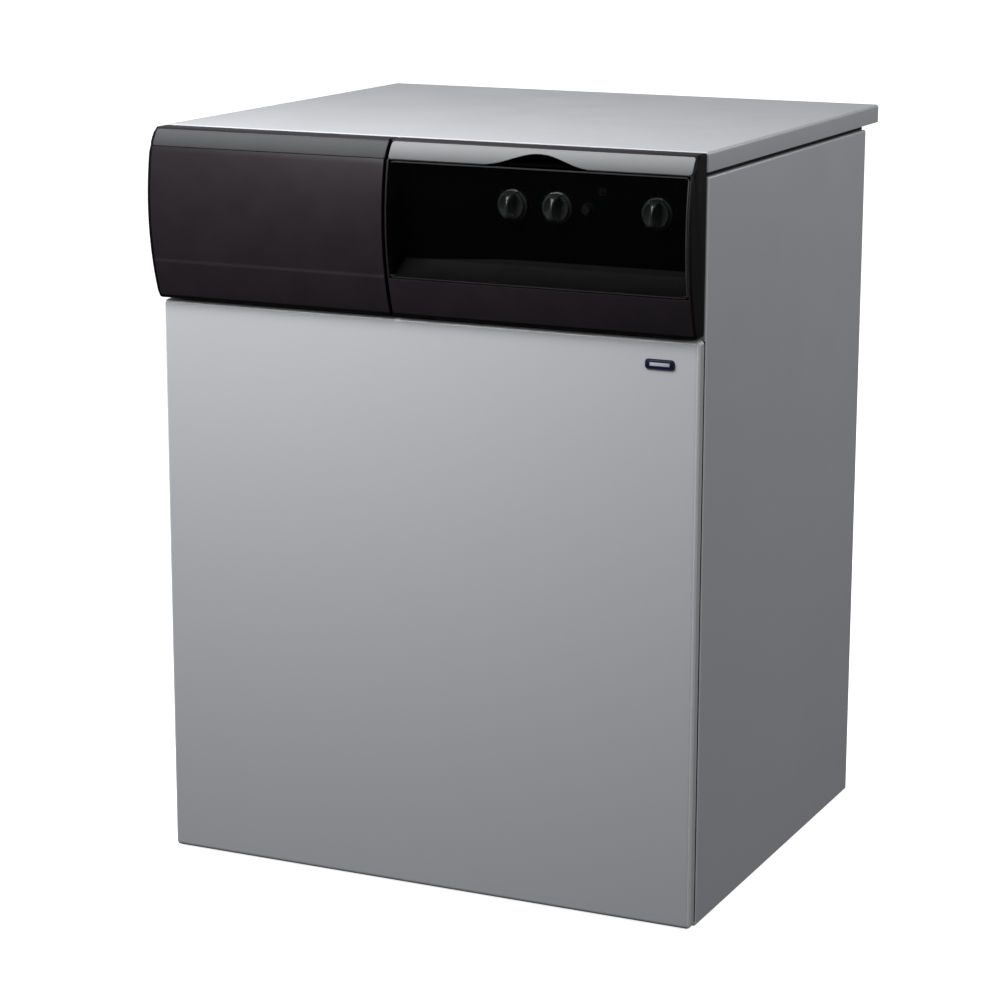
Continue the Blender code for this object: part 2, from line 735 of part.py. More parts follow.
def make_controls():
    low, high = CONTROL_BOX
    keep(tray(low, high, "-Y", wall=0.002), "control_box", "galvanised_steel")
    bodies = {"mode_switch": 0.022, "heating_thermostat": 0.030, "hot_water_thermostat": 0.030}
    for (name, depth), x in zip(bodies.items(), KNOB_X.values()):
        low = (x - SWITCH_HALF, SWITCH_FRONT_Y, KNOB_Z - SWITCH_HALF)
        high = (x + SWITCH_HALF, SWITCH_FRONT_Y + depth, KNOB_Z + SWITCH_HALF)
        keep(block(low, high, 0.002), name, "black_plastic")
    board = block(*BOARD_BOX)
    relays = []
    for x in RELAY_X:
        low = (x, RELAY_Y[0], RELAY_Z[0])
        relays.append(block(low, (x + RELAY_WIDTH, RELAY_Y[1], RELAY_Z[1]), 0.001))
    transformer = block(*TRANSFORMER_BOX, 0.002)
    keep(fuse(board, *relays, transformer), "circuit_board", "circuit_green")


# ---------------------------------------------------------------- exchanger and flue


def section_outline():
    half = SECTION_WIDTH / 2
    corner = 0.012
    return [
        (BOILER_X - half, SECTION_BOTTOM_Z),
        (BOILER_X + half, SECTION_BOTTOM_Z),
        (BOILER_X + half, SECTION_TOP_Z - corner),
        (BOILER_X + half - corner, SECTION_TOP_Z),
        (BOILER_X - half + corner, SECTION_TOP_Z),
        (BOILER_X - half, SECTION_TOP_Z - corner),
    ]


def chamber_tool(start, end):
    """The combustion chamber's cutter, with sloping upper corners."""
    half = CHAMBER_WIDTH / 2
    corner = 0.030
    points = [
        (BOILER_X - half, SECTION_BOTTOM_Z - 0.01),
        (BOILER_X + half, SECTION_BOTTOM_Z - 0.01),
        (BOILER_X + half, CHAMBER_TOP_Z - corner),
        (BOILER_X + half - corner, CHAMBER_TOP_Z),
        (BOILER_X - half + corner, CHAMBER_TOP_Z),
        (BOILER_X - half, CHAMBER_TOP_Z - corner),
    ]
    return outline(points, "XZ", start, end)


def flueway_tools(y, outward):
    """Cutters for the upright gas ways in one face of a section."""
    first = BOILER_X - FLUEWAY_PITCH * (FLUEWAY_COUNT - 1) / 2
    near, far = sorted((y + outward * 0.005, y - outward * FLUEWAY_DEPTH))
    for i in range(FLUEWAY_COUNT):
        x = first + FLUEWAY_PITCH * i
        low = (x - FLUEWAY_WIDTH / 2, near, CHAMBER_TOP_Z - 0.01)
        yield block(low, (x + FLUEWAY_WIDTH / 2, far, SECTION_TOP_Z + 0.01))


def make_exchanger():
    names = ("exchanger_front_section", "exchanger_middle_section", "exchanger_rear_section")
    last = len(names) - 1
    for i, name in enumerate(names):
        front = SECTION_FRONT_Y + i * (SECTION_DEPTH + SECTION_GAP)
        rear = front + SECTION_DEPTH
        section = outline(section_outline(), "XZ", front, rear)
        chamber_front = front + CHAMBER_END_WALL if i == 0 else front - 0.01
        chamber_rear = rear - CHAMBER_END_WALL if i == last else rear + 0.01
        tools = [chamber_tool(chamber_front, chamber_rear)]
        for side in (-1, 1):
            centre = (BOILER_X + side * ROD_OFFSET_X, 0, ROD_Z)
            tools.append(rod(centre, "Y", front - 0.01, rear + 0.01, ROD_RADIUS + 0.001, 12))
        if i > 0:
            tools += flueway_tools(front, -1)
        if i < last:
            tools += flueway_tools(rear, 1)
        keep(cut(section, *tools), name, "cast_iron")


def make_tie_rods():
    front = SECTION_FRONT_Y
    rear = SECTION_FRONT_Y + 3 * SECTION_DEPTH + 2 * SECTION_GAP
    profile = [
        (0, rear + 0.012),
        (ROD_NUT_RADIUS, rear + 0.012),
        (ROD_NUT_RADIUS, rear + GAP),
        (ROD_RADIUS, rear + GAP),
        (ROD_RADIUS, front - GAP),
        (ROD_NUT_RADIUS, front - GAP),
        (ROD_NUT_RADIUS, front - 0.012),
        (0, front - 0.012),
    ]
    for name, side in (("tie_rod_left", -1), ("tie_rod_right", 1)):
        rod_object = turned(profile, (BOILER_X + side * ROD_OFFSET_X, 0, ROD_Z), "Y", 12)
        keep(rod_object, name, "stainless_steel")


def make_jacket():
    half = SECTION_WIDTH / 2 + GAP
    outer = half + JACKET_WALL
    inner_top = SECTION_TOP_Z + GAP
    profile = [
        (BOILER_X - outer, SECTION_BOTTOM_Z),
        (BOILER_X - half, SECTION_BOTTOM_Z),
        (BOILER_X - half, inner_top),
        (BOILER_X + half, inner_top),
        (BOILER_X + half, SECTION_BOTTOM_Z),
        (BOILER_X + outer, SECTION_BOTTOM_Z),
        (BOILER_X + outer, JACKET_TOP_Z),
        (BOILER_X - outer, JACKET_TOP_Z),
    ]
    rear = SECTION_FRONT_Y + 3 * SECTION_DEPTH + 2 * SECTION_GAP
    jacket = outline(profile, "XZ", SECTION_FRONT_Y, rear)
    keep(cut(jacket, block(*JACKET_OPENING)), "insulation_jacket", "mineral_wool")


def make_flue_hood():
    low, high = HOOD_BOX
    hood = tray(low, high, "-Z")
    for vertex in hood.data.vertices:
        place = hood.location + vertex.co
        if place.y < 0 and place.z > FLUE_Z:
            vertex.co.y += HOOD_SLOPE
    outlet = rod((BOILER_X, 0, FLUE_Z), "Y", *HOOD_DRILL_Y, FLUE_RADIUS - 0.002, 32)
    slot_low = (BOILER_X - DRAUGHT_SLOT_HALF, HOOD_DRILL_Y[0], DRAUGHT_SLOT_Z[0])
    slot_high = (BOILER_X + DRAUGHT_SLOT_HALF, HOOD_DRILL_Y[1], DRAUGHT_SLOT_Z[1])
    diverter = block(slot_low, slot_high)
    keep(cut(hood, outlet, diverter), "flue_hood", "galvanised_steel")
    face = high[1] + GAP
    profile = [
        (FLUE_RADIUS - SHEET, REAR_Y),
        (FLUE_RADIUS, REAR_Y),
        (FLUE_RADIUS, face + 0.002),
        (FLUE_RADIUS + 0.009, face + 0.002),
        (FLUE_RADIUS + 0.009, face),
        (FLUE_RADIUS - SHEET, face),
    ]
    keep(turned(profile, (BOILER_X, 0, FLUE_Z), "Y", 32, closed=True), "flue_spigot", "galvanised_steel")


# ---------------------------------------------------------------- burner assembly


def bar_places():
    first = BOILER_X - BAR_PITCH * (BAR_COUNT - 1) / 2
    return [first + BAR_PITCH * i for i in range(BAR_COUNT)]


def make_burner_tray():
    low = (BOILER_X - TRAY_HALF_WIDTH, TRAY_FRONT_Y, TRAY_BOTTOM_Z)
    high = (BOILER_X + TRAY_HALF_WIDTH, TRAY_REAR_Y, SECTION_BOTTOM_Z - 2 * GAP)
    tray_body = tray(low, high, "+Z")
    mouth_y = (TRAY_FRONT_Y - 0.01, TRAY_FRONT_Y + 0.005)
    mouths = [rod((x, 0, MANIFOLD_Z), "Y", *mouth_y, MOUTH_RADIUS, 12) for x in bar_places()]
    keep(cut(tray_body, *mouths), "burner_tray", "stainless_steel")
    low = (BOILER_X - BURNER_PLATE_HALF_WIDTH, BURNER_PLATE_Y[0], BURNER_PLATE_BOTTOM_Z)
    high = (BOILER_X + BURNER_PLATE_HALF_WIDTH, BURNER_PLATE_Y[1], SECTION_BOTTOM_Z - 0.001)
    plate = block(low, high)
    holes = [rod((x, 0, MANIFOLD_Z), "Y", *BURNER_DRILL_Y, MOUTH_RADIUS, 12) for x in bar_places()]
    sight = rod((BOILER_X, 0, SIGHT_HOLE_Z), "Y", *BURNER_DRILL_Y, SIGHT_HOLE_RADIUS, 16)
    keep(cut(plate, *holes, sight), "burner_front_plate", "stainless_steel")


def make_burner_bars():
    for i, x in enumerate(bar_places()):
        half = BAR_WIDTH / 2
        profile = [
            (x - half, BAR_BOTTOM_Z),
            (x + half, BAR_BOTTOM_Z),
            (x + half, BAR_TOP_Z - 0.010),
            (x + half * 0.5, BAR_TOP_Z),
            (x - half * 0.5, BAR_TOP_Z),
            (x - half, BAR_TOP_Z - 0.010),
        ]
        bar = outline(profile, "XZ", BAR_FRONT_Y, BAR_REAR_Y)
        pitch = (BAR_REAR_Y - BAR_FRONT_Y - 0.03) / PORT_COUNT
        ports = []
        for k in range(PORT_COUNT):
            y = BAR_FRONT_Y + 0.015 + pitch * (k + 0.5)
            low = (x - half - 0.005, y - PORT_HALF, BAR_TOP_Z - 0.006)
            ports.append(block(low, (x + half + 0.005, y + PORT_HALF, BAR_TOP_Z + 0.005)))
        mouth = rod((x, 0, MANIFOLD_Z), "Y", BAR_FRONT_Y - 0.005, BAR_FRONT_Y + 0.030, 0.009, 12)
        keep(cut(bar, mouth, *ports), f"burner_bar_{i + 1}", "stainless_steel")


def make_gas_train():
    start, end = BOILER_X - TRAY_HALF_WIDTH, BOILER_X + TRAY_HALF_WIDTH
    tube = rod((0, MANIFOLD_Y, MANIFOLD_Z), "X", start, end, MANIFOLD_RADIUS, 16)
    profile = [
        (0, -0.150),
        (0.0022, -0.150),
        (0.0045, -0.158),
        (0.0045, -0.170),
        (0.0070, -0.170),
        (0.0070, -0.186),
        (0, -0.186),
    ]
    injectors = [turned(profile, (x, 0, MANIFOLD_Z), "Y", 12) for x in bar_places()]
    riser_x = (VALVE_BOX[0][0] + VALVE_BOX[1][0]) / 2
    riser = rod((riser_x, MANIFOLD_Y, 0), "Z", MANIFOLD_Z, VALVE_BOX[0][2] - GAP, 0.008, 12)
    keep(fuse(tube, riser, *injectors), "gas_manifold", "brass")
    low, high = VALVE_BOX
    valve = block(low, high, 0.003)
    x, y, z = GAS_COCK
    neck_end = high[0] + 0.012
    neck = rod((0, y, z), "X", high[0] - 0.005, neck_end, 0.013, 12)
    keep(fuse(valve, neck), "gas_valve", "cast_aluminium")
    coil = rod((riser_x, y, 0), "Z", high[2] + GAP, high[2] + 0.040, 0.018, 20)
    connector_low = (riser_x - 0.012, y, high[2] + 0.012)
    connector_high = (riser_x + 0.012, y + 0.026, high[2] + 0.034)
    connector = block(connector_low, connector_high, 0.001)
    keep(fuse(coil, connector), "valve_solenoid", "black_plastic")
    half = GAS_COCK_HALF
    cock = block((neck_end + GAP, y - half, z - half), (x + half, y + half, z + half), 0.003)
    stem = rod((x, 0, z), "Y", COCK_STEM_Y, y - half + 0.003, 0.006, 12)
    keep(fuse(cock, stem), "gas_cock", "brass")
    lever_y = COCK_STEM_Y - GAP
    hub = rod((x, 0, z), "Y", lever_y - 0.006, lever_y, 0.009, 16)
    arm_half = COCK_LEVER_WIDTH / 2
    arm_low = (x - arm_half, lever_y - 0.0055, z - COCK_LEVER_LENGTH)
    arm = block(arm_low, (x + arm_half, lever_y - 0.0005, z), 0.0015)
    lever = keep(fuse(hub, arm), "gas_cock_lever", "yellow_plastic")
    move_origin(lever, (x, lever_y, z))
    pipe_z = REAR_PIPES["gas_inlet_pipe"][1]
    line = [(x, y, z - half - GAP), (x, y, pipe_z), (x, PIPE_END_Y, pipe_z)]
    keep(pipe(line, GAS_PIPE_RADIUS), "gas_inlet_pipe", "copper")


def make_pilot():
    x = BOILER_X
    y = BAR_FRONT_Y + 0.012
    tube = rod((x, y, 0), "Z", 0.1205, BAR_TOP_Z - 0.006, 0.0045, 12)
    hood_low = (x - 0.006, y - 0.006, BAR_TOP_Z - 0.007)
    hood = block(hood_low, (x + 0.006, y + 0.008, BAR_TOP_Z + 0.005), 0.001)
    keep(fuse(tube, hood), "pilot_burner", "stainless_steel")


# ---------------------------------------------------------------- water side


def make_pump():
    x, z = PUMP
    cavity = PUMP_RADIUS - 0.007
    profile = [
        (0, PUMP_REAR_Y),
        (PUMP_RADIUS - 0.004, PUMP_REAR_Y),
        (PUMP_RADIUS, PUMP_REAR_Y - 0.004),
        (PUMP_RADIUS, PUMP_JOINT_Y + GAP),
        (cavity, PUMP_JOINT_Y + GAP),
        (cavity, PUMP_REAR_Y - 0.010),
        (0, PUMP_REAR_Y - 0.010),
    ]
    volute = turned(profile, (x, 0, z), "Y", 28)
    middle_y = (PUMP_JOINT_Y + PUMP_REAR_Y) / 2
    near, far = PUMP_RADIUS - 0.004, PUMP_PORT_REACH
    ports = [rod((x, middle_y, 0), "Z", z + s * near, z + s * far, 0.017, 16) for s in (-1, 1)]
    keep(fuse(volute, *ports), "pump_volute", "cast_iron")
    profile = [
        (0.0062, PUMP_JOINT_Y - GAP),
        (PUMP_RADIUS, PUMP_JOINT_Y - GAP),
        (PUMP_RADIUS, PUMP_JOINT_Y - 0.006),
        (PUMP_RADIUS - 0.006, PUMP_JOINT_Y - 0.008),
        (PUMP_RADIUS - 0.006, PUMP_FRONT_Y + 0.004),
        (PUMP_RADIUS - 0.010, PUMP_FRONT_Y),
        (0, PUMP_FRONT_Y),
        (0, PUMP_JOINT_Y - 0.055),
        (0.0062, PUMP_JOINT_Y - 0.055),
    ]
    motor = turned(profile, (x, 0, z), "Y", 28, closed=True)
    keep(motor, "pump_motor", "red_enamel")
    profile = [
        (0, PUMP_REAR_Y - 0.014),
        (0.010, PUMP_REAR_Y - 0.014),
        (0.031, PUMP_REAR_Y - 0.020),
        (0.031, PUMP_JOINT_Y + 0.010),
        (0.0055, PUMP_JOINT_Y + 0.008),
        (0.0055, PUMP_JOINT_Y - 0.050),
        (0, PUMP_JOINT_Y - 0.050),
    ]
    wheel = turned(profile, (x, 0, z), "Y", 24)
    vanes = []
    for i in range(3):
        low = (x - VANE_REACH, PUMP_JOINT_Y + 0.013, z - 0.0015)
        vane = block(low, (x + VANE_REACH, PUMP_REAR_Y - 0.023, z + 0.0015))
        vane.rotation_euler = (0, math.pi * i / 3, 0)
        vanes.append(vane)
    impeller = keep(fuse(wheel, *vanes), "pump_impeller", "brown_plastic")
    move_origin(impeller, (x, PUMP_JOINT_Y, z))


def make_vessel():
    """A flat pressure vessel, hollow, with its port in the middle of its rear."""
    x, z = VESSEL
    front, rear = VESSEL_Y
    middle = (front + rear) / 2
    half = (rear - front) / 2
    shares = [(0.45, 0.93), (0.80, 0.71), (0.96, 0.27), (1.0, 0.13)]
    outer = [(VESSEL_RADIUS * r, half * h) for r, h in shares]
    inner = [((VESSEL_RADIUS - VESSEL_WALL) * r, (half - VESSEL_WALL) * h) for r, h in shares]
    profile = [(0, middle - half + VESSEL_WALL)]
    profile += [(r, middle - h) for r, h in inner]
    profile += [(r, middle + h) for r, h in reversed(inner)]
    profile += [(VESSEL_PORT_RADIUS, rear - VESSEL_WALL), (VESSEL_PORT_RADIUS, rear)]
    profile += [(r, middle + h) for r, h in outer]
    profile += [(r, middle - h) for r, h in reversed(outer)]
    profile.append((0, front))
    keep(turned(profile, (x, 0, z), "Y", 28), "expansion_vessel", "red_enamel")


def make_cylinder():
    x, y = CYLINDER
    radius, bottom, top = CYLINDER_RADIUS, CYLINDER_BOTTOM_Z, CYLINDER_TOP_Z
    wall, foot, port = CYLINDER_SHELL, CYLINDER_FOOT_RADIUS, CYLINDER_PORT_RADIUS
    profile = [
        (0, bottom + 0.012 + wall),
        (foot, bottom + 0.012 + wall),
        (radius - wall, bottom + 0.060),
        (radius - wall, top - 0.072),
        (radius * 0.70, top - 0.026),
        (port, top - 0.020),
        (port, top),
        (0.045, top),
        (0.045, top - 0.012),
        (radius * 0.70, top - 0.020),
        (radius * 0.95, top - 0.045),
        (radius, top - 0.070),
        (radius, bottom + 0.060),
        (radius * 0.95, bottom + 0.035),
        (foot, bottom + 0.012),
        (foot, CYLINDER_FOOT_Z),
        (0, CYLINDER_FOOT_Z),
    ]
    keep(turned(profile, (x, y, 0), "Z", 28), "storage_cylinder", "stainless_steel")
    inner = radius + GAP * 2
    outer = inner + CYLINDER_WALL
    high, low = top - 0.060, bottom + 0.050
    profile = [(inner, high), (outer, high), (outer, low), (inner, low)]
    jacket = turned(profile, (x, y, 0), "Z", 28, closed=True)
    port = rod((x, 0, REAR_PIPES["cold_water_pipe"][1]), "Y", y + 0.05, y + 0.16, 0.014, 12)
    keep(cut(jacket, port), "cylinder_jacket", "mineral_wool")


def make_water_pipes():
    radius = WATER_PIPE_RADIUS
    x, z = PUMP
    port_y = (PUMP_JOINT_Y + PUMP_REAR_Y) / 2
    flow = [
        (0.060, SECTION_FRONT_Y - GAP, FLOW_LEVEL_Z),
        (0.060, FLOW_LINE_Y, FLOW_LEVEL_Z),
        (FLOW_LINE_X, FLOW_LINE_Y, FLOW_LEVEL_Z),
        (FLOW_LINE_X, FLOW_LINE_Y, 0.300),
        (x, port_y, 0.262),
        (x, port_y, z + PUMP_PORT_REACH + GAP),
    ]
    keep(pipe(flow, radius), "flow_pipe", "copper")
    end_x, end_z = REAR_PIPES["pump_outlet_pipe"]
    outlet = [
        (x, port_y, z - PUMP_PORT_REACH - GAP),
        (x, port_y, end_z),
        (end_x, port_y + 0.04, end_z),
        (end_x, PIPE_END_Y, end_z),
    ]
    keep(pipe(outlet, radius), "pump_outlet_pipe", "copper")
    end_x, end_z = REAR_PIPES["return_pipe"]
    rear = SECTION_FRONT_Y + 3 * SECTION_DEPTH + 2 * SECTION_GAP + GAP
    keep(pipe([(end_x, rear, end_z), (end_x, PIPE_END_Y, end_z)], radius), "return_pipe", "copper")
    end_x, end_z = REAR_PIPES["hot_water_pipe"]
    hot = [(*CYLINDER, CYLINDER_TOP_Z + GAP), (*CYLINDER, end_z), (end_x, PIPE_END_Y, end_z)]
    keep(pipe(hot, radius), "hot_water_pipe", "copper")
    end_x, end_z = REAR_PIPES["cold_water_pipe"]
    start = CYLINDER[1] + CYLINDER_RADIUS + GAP
    keep(pipe([(end_x, start, end_z), (end_x, PIPE_END_Y, end_z)], radius), "cold_water_pipe", "copper")
    z = FLOW_LEVEL_Z + radius + 0.001
    profile = [
        (0, z + 0.052),
        (0.013, z + 0.052),
        (0.014, z + 0.030),
        (0.009, z + 0.029),
        (0.012, z + 0.026),
        (0.012, z + 0.006),
        (0.008, z),
        (0, z),
    ]
    keep(turned(profile, (FLOW_LINE_X, FLOW_LINE_Y, 0), "Z", 16), "safety_valve", "brass")


def main():
    make_side_panel("left_side_panel", -1)
    make_side_panel("right_side_panel", 1)
    make_lid()
    make_seal("lid_seal_left", -1)
    make_seal("lid_seal_right", 1)
    make_base()
    make_back_panel()
    make_front_panel()
    make_frame_members()
    make_left_cover()
    make_right_frame()
    make_end_cap("fascia_left_end_cap", -1)
    make_end_cap("fascia_right_end_cap", 1)
    make_flap()
    make_control_panel()
    for name, x in KNOB_X.items():
        make_knob(name, x)
    make_button_and_lamp()
    make_controls()
    make_exchanger()
    make_tie_rods()
    make_jacket()
    make_flue_hood()
    make_burner_tray()
    make_burner_bars()
    make_gas_train()
    make_pilot()
    make_pump()
    make_vessel()
    make_cylinder()
    make_water_pipes()


main()
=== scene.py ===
"""Looks of the floor-standing gas boiler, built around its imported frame.

Metres, +Z up, the front faces -Y and +X is to the right seen from the front.
"""

import json
import math

import bmesh
import bpy
from mathutils import Matrix, Vector


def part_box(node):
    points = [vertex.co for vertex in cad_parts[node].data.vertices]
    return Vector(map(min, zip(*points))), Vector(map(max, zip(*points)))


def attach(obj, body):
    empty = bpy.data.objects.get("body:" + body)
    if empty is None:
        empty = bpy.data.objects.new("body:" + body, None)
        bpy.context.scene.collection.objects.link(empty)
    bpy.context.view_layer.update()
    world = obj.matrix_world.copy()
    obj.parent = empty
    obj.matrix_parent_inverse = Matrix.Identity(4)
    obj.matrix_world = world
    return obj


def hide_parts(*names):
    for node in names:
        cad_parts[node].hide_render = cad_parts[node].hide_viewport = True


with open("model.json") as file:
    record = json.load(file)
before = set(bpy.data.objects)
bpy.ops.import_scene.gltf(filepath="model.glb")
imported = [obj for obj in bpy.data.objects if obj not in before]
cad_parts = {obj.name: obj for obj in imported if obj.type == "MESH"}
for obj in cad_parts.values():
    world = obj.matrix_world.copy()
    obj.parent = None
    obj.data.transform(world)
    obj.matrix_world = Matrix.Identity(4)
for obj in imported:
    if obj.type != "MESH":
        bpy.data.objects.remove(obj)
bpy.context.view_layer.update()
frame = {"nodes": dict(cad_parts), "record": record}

TURN = 2 * math.pi

# ---- camera, light and stage

CAMERA_PLACE = (1.413, -3.121, 1.191)
CAMERA_YAW = math.radians(24.87)
CAMERA_PITCH = math.radians(-13.11)
CAMERA_ROLL = math.radians(0.15)
CAMERA_LENS = 106.3
CAMERA_SENSOR = 36.0
CAMERA_CLIP = (0.05, 200.0)
# Name, place, target, size and power
LIGHTS = (
    ("key", (-0.42, -1.1, 1.6), (-0.05, -0.28, 0.6), (0.9, 0.9), 26.5),
    ("overhead", (-0.5, 0.1, 2.6), (0.0, 0.0, 0.85), (1.6, 1.6), 7.0),
    ("right_fill", (2.2, -0.6, 1.3), (0.32, 0.0, 0.45), (1.6, 1.6), 5.0),
    ("rear_fill", (2.1, 2.5, 1.7), (0.0, 0.3, 0.45), (1.6, 1.4), 22.0),
    ("left_fill", (-2.4, 0.3, 1.2), (-0.32, 0.0, 0.45), (1.6, 1.6), 9.0),
)
# Sky colour by height, from straight down (0) over the horizon (0.5) to straight up (1)
SKY_LEVELS = (
    (0.0, (0.05, 0.05, 0.052)),
    (0.48, (0.1, 0.1, 0.103)),
    (0.55, (0.2, 0.2, 0.206)),
    (0.7, (0.3, 0.3, 0.31)),
    (1.0, (0.56, 0.565, 0.575)),
)
WHITE = (1, 1, 1, 1)
FLOOR_HALF = 30.0
FLOOR_Z = -0.0005
FLOOR_COLOUR = (0.86, 0.86, 0.86, 1)
FLOOR_GLOW = 0.85


def linked(name, data):
    obj = bpy.data.objects.new(name, data)
    bpy.context.scene.collection.objects.link(obj)
    return obj


def make_camera():
    data = bpy.data.cameras.new("camera")
    data.lens = CAMERA_LENS
    data.sensor_width = CAMERA_SENSOR
    data.clip_start, data.clip_end = CAMERA_CLIP
    camera = linked("camera", data)
    level = math.cos(CAMERA_PITCH)
    forward = Vector((-math.sin(CAMERA_YAW) * level, math.cos(CAMERA_YAW) * level, math.sin(CAMERA_PITCH)))
    turn = forward.to_track_quat("-Z", "Y").to_matrix().to_4x4()
    camera.matrix_world = Matrix.Translation(CAMERA_PLACE) @ turn @ Matrix.Rotation(CAMERA_ROLL, 4, "Z")
    bpy.context.scene.camera = camera


def make_area_light(name, place, target, size, power):
    data = bpy.data.lights.new(name, "AREA")
    data.shape = "RECTANGLE"
    data.size, data.size_y = size
    data.energy = power
    light = linked(name, data)
    light.location = place
    light.visible_camera = False
    light.rotation_euler = (Vector(target) - Vector(place)).to_track_quat("-Z", "Y").to_euler()


def fill(node, **values):
    """Sets a node's input sockets, named with underscores for spaces."""
    for name, value in values.items():
        node.inputs[name.replace("_", " ")].default_value = value


def new_nodes(tree, kinds):
    """One new node of each kind, in an emptied tree."""
    tree.nodes.clear()
    return [tree.nodes.new(f"ShaderNode{kind}") for kind in kinds.split()]


def link(tree, *pairs):
    for start, end in pairs:
        tree.links.new(start, end)


def make_world():
    """White behind the object, and a soft studio sky that is darker towards the ground."""
    world = bpy.data.worlds.new("studio")
    bpy.context.scene.world = world
    world.use_nodes = True
    tree = world.node_tree
    kinds = "TexCoord SeparateXYZ MapRange ValToRGB Background Background LightPath MixShader OutputWorld"
    place, split, height, ramp, sky, white, path, pick, out = new_nodes(tree, kinds)
    stops = ramp.color_ramp.elements
    stops[0].color = (*SKY_LEVELS[0][1], 1)
    stops[1].color = (*SKY_LEVELS[-1][1], 1)
    for position, colour in SKY_LEVELS[1:-1]:
        stops.new(position).color = (*colour, 1)
    fill(height, From_Min=-1.0)
    fill(sky, Strength=1.0)
    fill(white, Color=WHITE)
    link(
        tree,
        (place.outputs["Generated"], split.inputs[0]),
        (split.outputs["Z"], height.inputs["Value"]),
        (height.outputs[0], ramp.inputs["Fac"]),
        (ramp.outputs["Color"], sky.inputs["Color"]),
        (path.outputs["Is Camera Ray"], pick.inputs["Fac"]),
        (sky.outputs[0], pick.inputs[1]),
        (white.outputs[0], pick.inputs[2]),
        (pick.outputs[0], out.inputs["Surface"]),
    )


def make_stage():
    mesh = bpy.data.meshes.new("floor")
    signs = ((-1, -1), (1, -1), (1, 1), (-1, 1))
    mesh.from_pydata([(x * FLOOR_HALF, y * FLOOR_HALF, 0) for x, y in signs], [], [(0, 1, 2, 3)])
    floor = linked("floor", mesh)
    floor.location.z = FLOOR_Z
    pale = bpy.data.materials.new("pale_floor")
    pale.use_nodes = True
    shader = pale.node_tree.nodes["Principled BSDF"]
    fill(shader, Base_Color=FLOOR_COLOUR, Roughness=0.9, Specular_IOR_Level=0.0)
    fill(shader, Emission_Color=WHITE, Emission_Strength=FLOOR_GLOW)
    mesh.materials.append(pale)
    floor.visible_diffuse = False
    floor.visible_glossy = False


# ---- materials


class Look:
    """One procedural material, whose patterns lie in the object's own coordinates."""

    def __init__(self, name, colour, roughness, metallic=0.0):
        self.name = name
        self.material = bpy.data.materials.new(name)
        self.material.use_nodes = True
        self.tree = self.material.node_tree
        self.shader = self.tree.nodes["Principled BSDF"]
        self.colour = colour
        self.roughness = roughness
        fill(self.shader, Base_Color=(*colour, 1), Roughness=roughness, Metallic=metallic)
        self.place = self.node("TexCoord").outputs["Object"]

    def node(self, kind, **values):
        made = self.tree.nodes.new(f"ShaderNode{kind}")
        fill(made, **values)
        return made

    def join(self, start, end):
        self.tree.links.new(start, end)

    def noise(self, scale, detail=3.0, stretch=None):
        """A noise pattern's height output, stretched along the axes when asked."""
        made = self.node("TexNoise", Scale=scale, Detail=detail, Distortion=0.0)
        start = self.place
        if stretch:
            mapping = self.node("Mapping", Scale=stretch)
            self.join(start, mapping.inputs["Vector"])
            start = mapping.outputs[0]
        self.join(start, made.inputs["Vector"])
        return made.outputs[0]

    def ranged(self, source, low, high, start=0.3, end=0.7):
        made = self.node("MapRange", From_Min=start, From_Max=end, To_Min=low, To_Max=high)
        self.join(source, made.inputs["Value"])
        return made.outputs[0]

    def blend(self, factor, first, second):
        """Runs the colour from first to second, each a tuple or another node's output."""
        made = self.tree.nodes.new("ShaderNodeMix")
        made.data_type = "RGBA"
        self.join(factor, made.inputs["Factor"])
        for value, socket in ((first, made.inputs["A"]), (second, made.inputs["B"])):
            if isinstance(value, tuple):
                socket.default_value = (*value, 1)
            else:
                self.join(value, socket)
        self.join(made.outputs["Result"], self.shader.inputs["Base Color"])
        return self

    def vary_colour(self, scale, amount, detail=3.0, stretch=None):
        darker = tuple(c * (1 - amount) for c in self.colour)
        lighter = tuple(min(1.0, c * (1 + amount)) for c in self.colour)
        return self.blend(self.ranged(self.noise(scale, detail, stretch), 0, 1), darker, lighter)

    def fade(self, low, high, foot, head):
        """Runs the colour from foot to head between two heights."""
        split = self.node("SeparateXYZ")
        self.join(self.place, split.inputs[0])
        return self.blend(self.ranged(split.outputs["Z"], 0, 1, low, high), foot, head)

    def spot_colour(self, scale, colour, share):
        """Patches of another colour over part of the surface."""
        factor = self.ranged(self.noise(scale, 6.0), 0, 1, 1 - share, 1 - share + 0.12)
        below = self.shader.inputs["Base Color"].links[0].from_socket
        return self.blend(factor, below, colour)

    def vary_roughness(self, scale, amount, stretch=None):
        source = self.noise(scale, 4.0, stretch)
        low = max(0.02, self.roughness - amount)
        high = min(1.0, self.roughness + amount)
        self.join(self.ranged(source, low, high), self.shader.inputs["Roughness"])
        return self

    def bump(self, *layers):
        """Layers of (scale, depth in metres, stretch if any), each on top of the one before."""
        normal = None
        for scale, depth, *stretch in layers:
            made = self.node("Bump", Strength=1.0, Distance=depth)
            self.join(self.noise(scale, 2.0, *stretch), made.inputs["Height"])
            if normal:
                self.join(normal, made.inputs["Normal"])
            normal = made.outputs[0]
        self.join(normal, self.shader.inputs["Normal"])
        return self

    def coat(self, weight, roughness):
        fill(self.shader, Coat_Weight=weight, Coat_Roughness=roughness)
        return self

    def gloss(self, level):
        fill(self.shader, Specular_IOR_Level=level)
        return self


def worn(name, colour, roughness, metallic, tint, wear, *layers):
    """A look whose colour and roughness wander: tint and wear start with their noise's scale and amount."""
    look = Look(name, colour, roughness, metallic)
    return look.vary_colour(*tint).vary_roughness(*wear).bump(*layers)


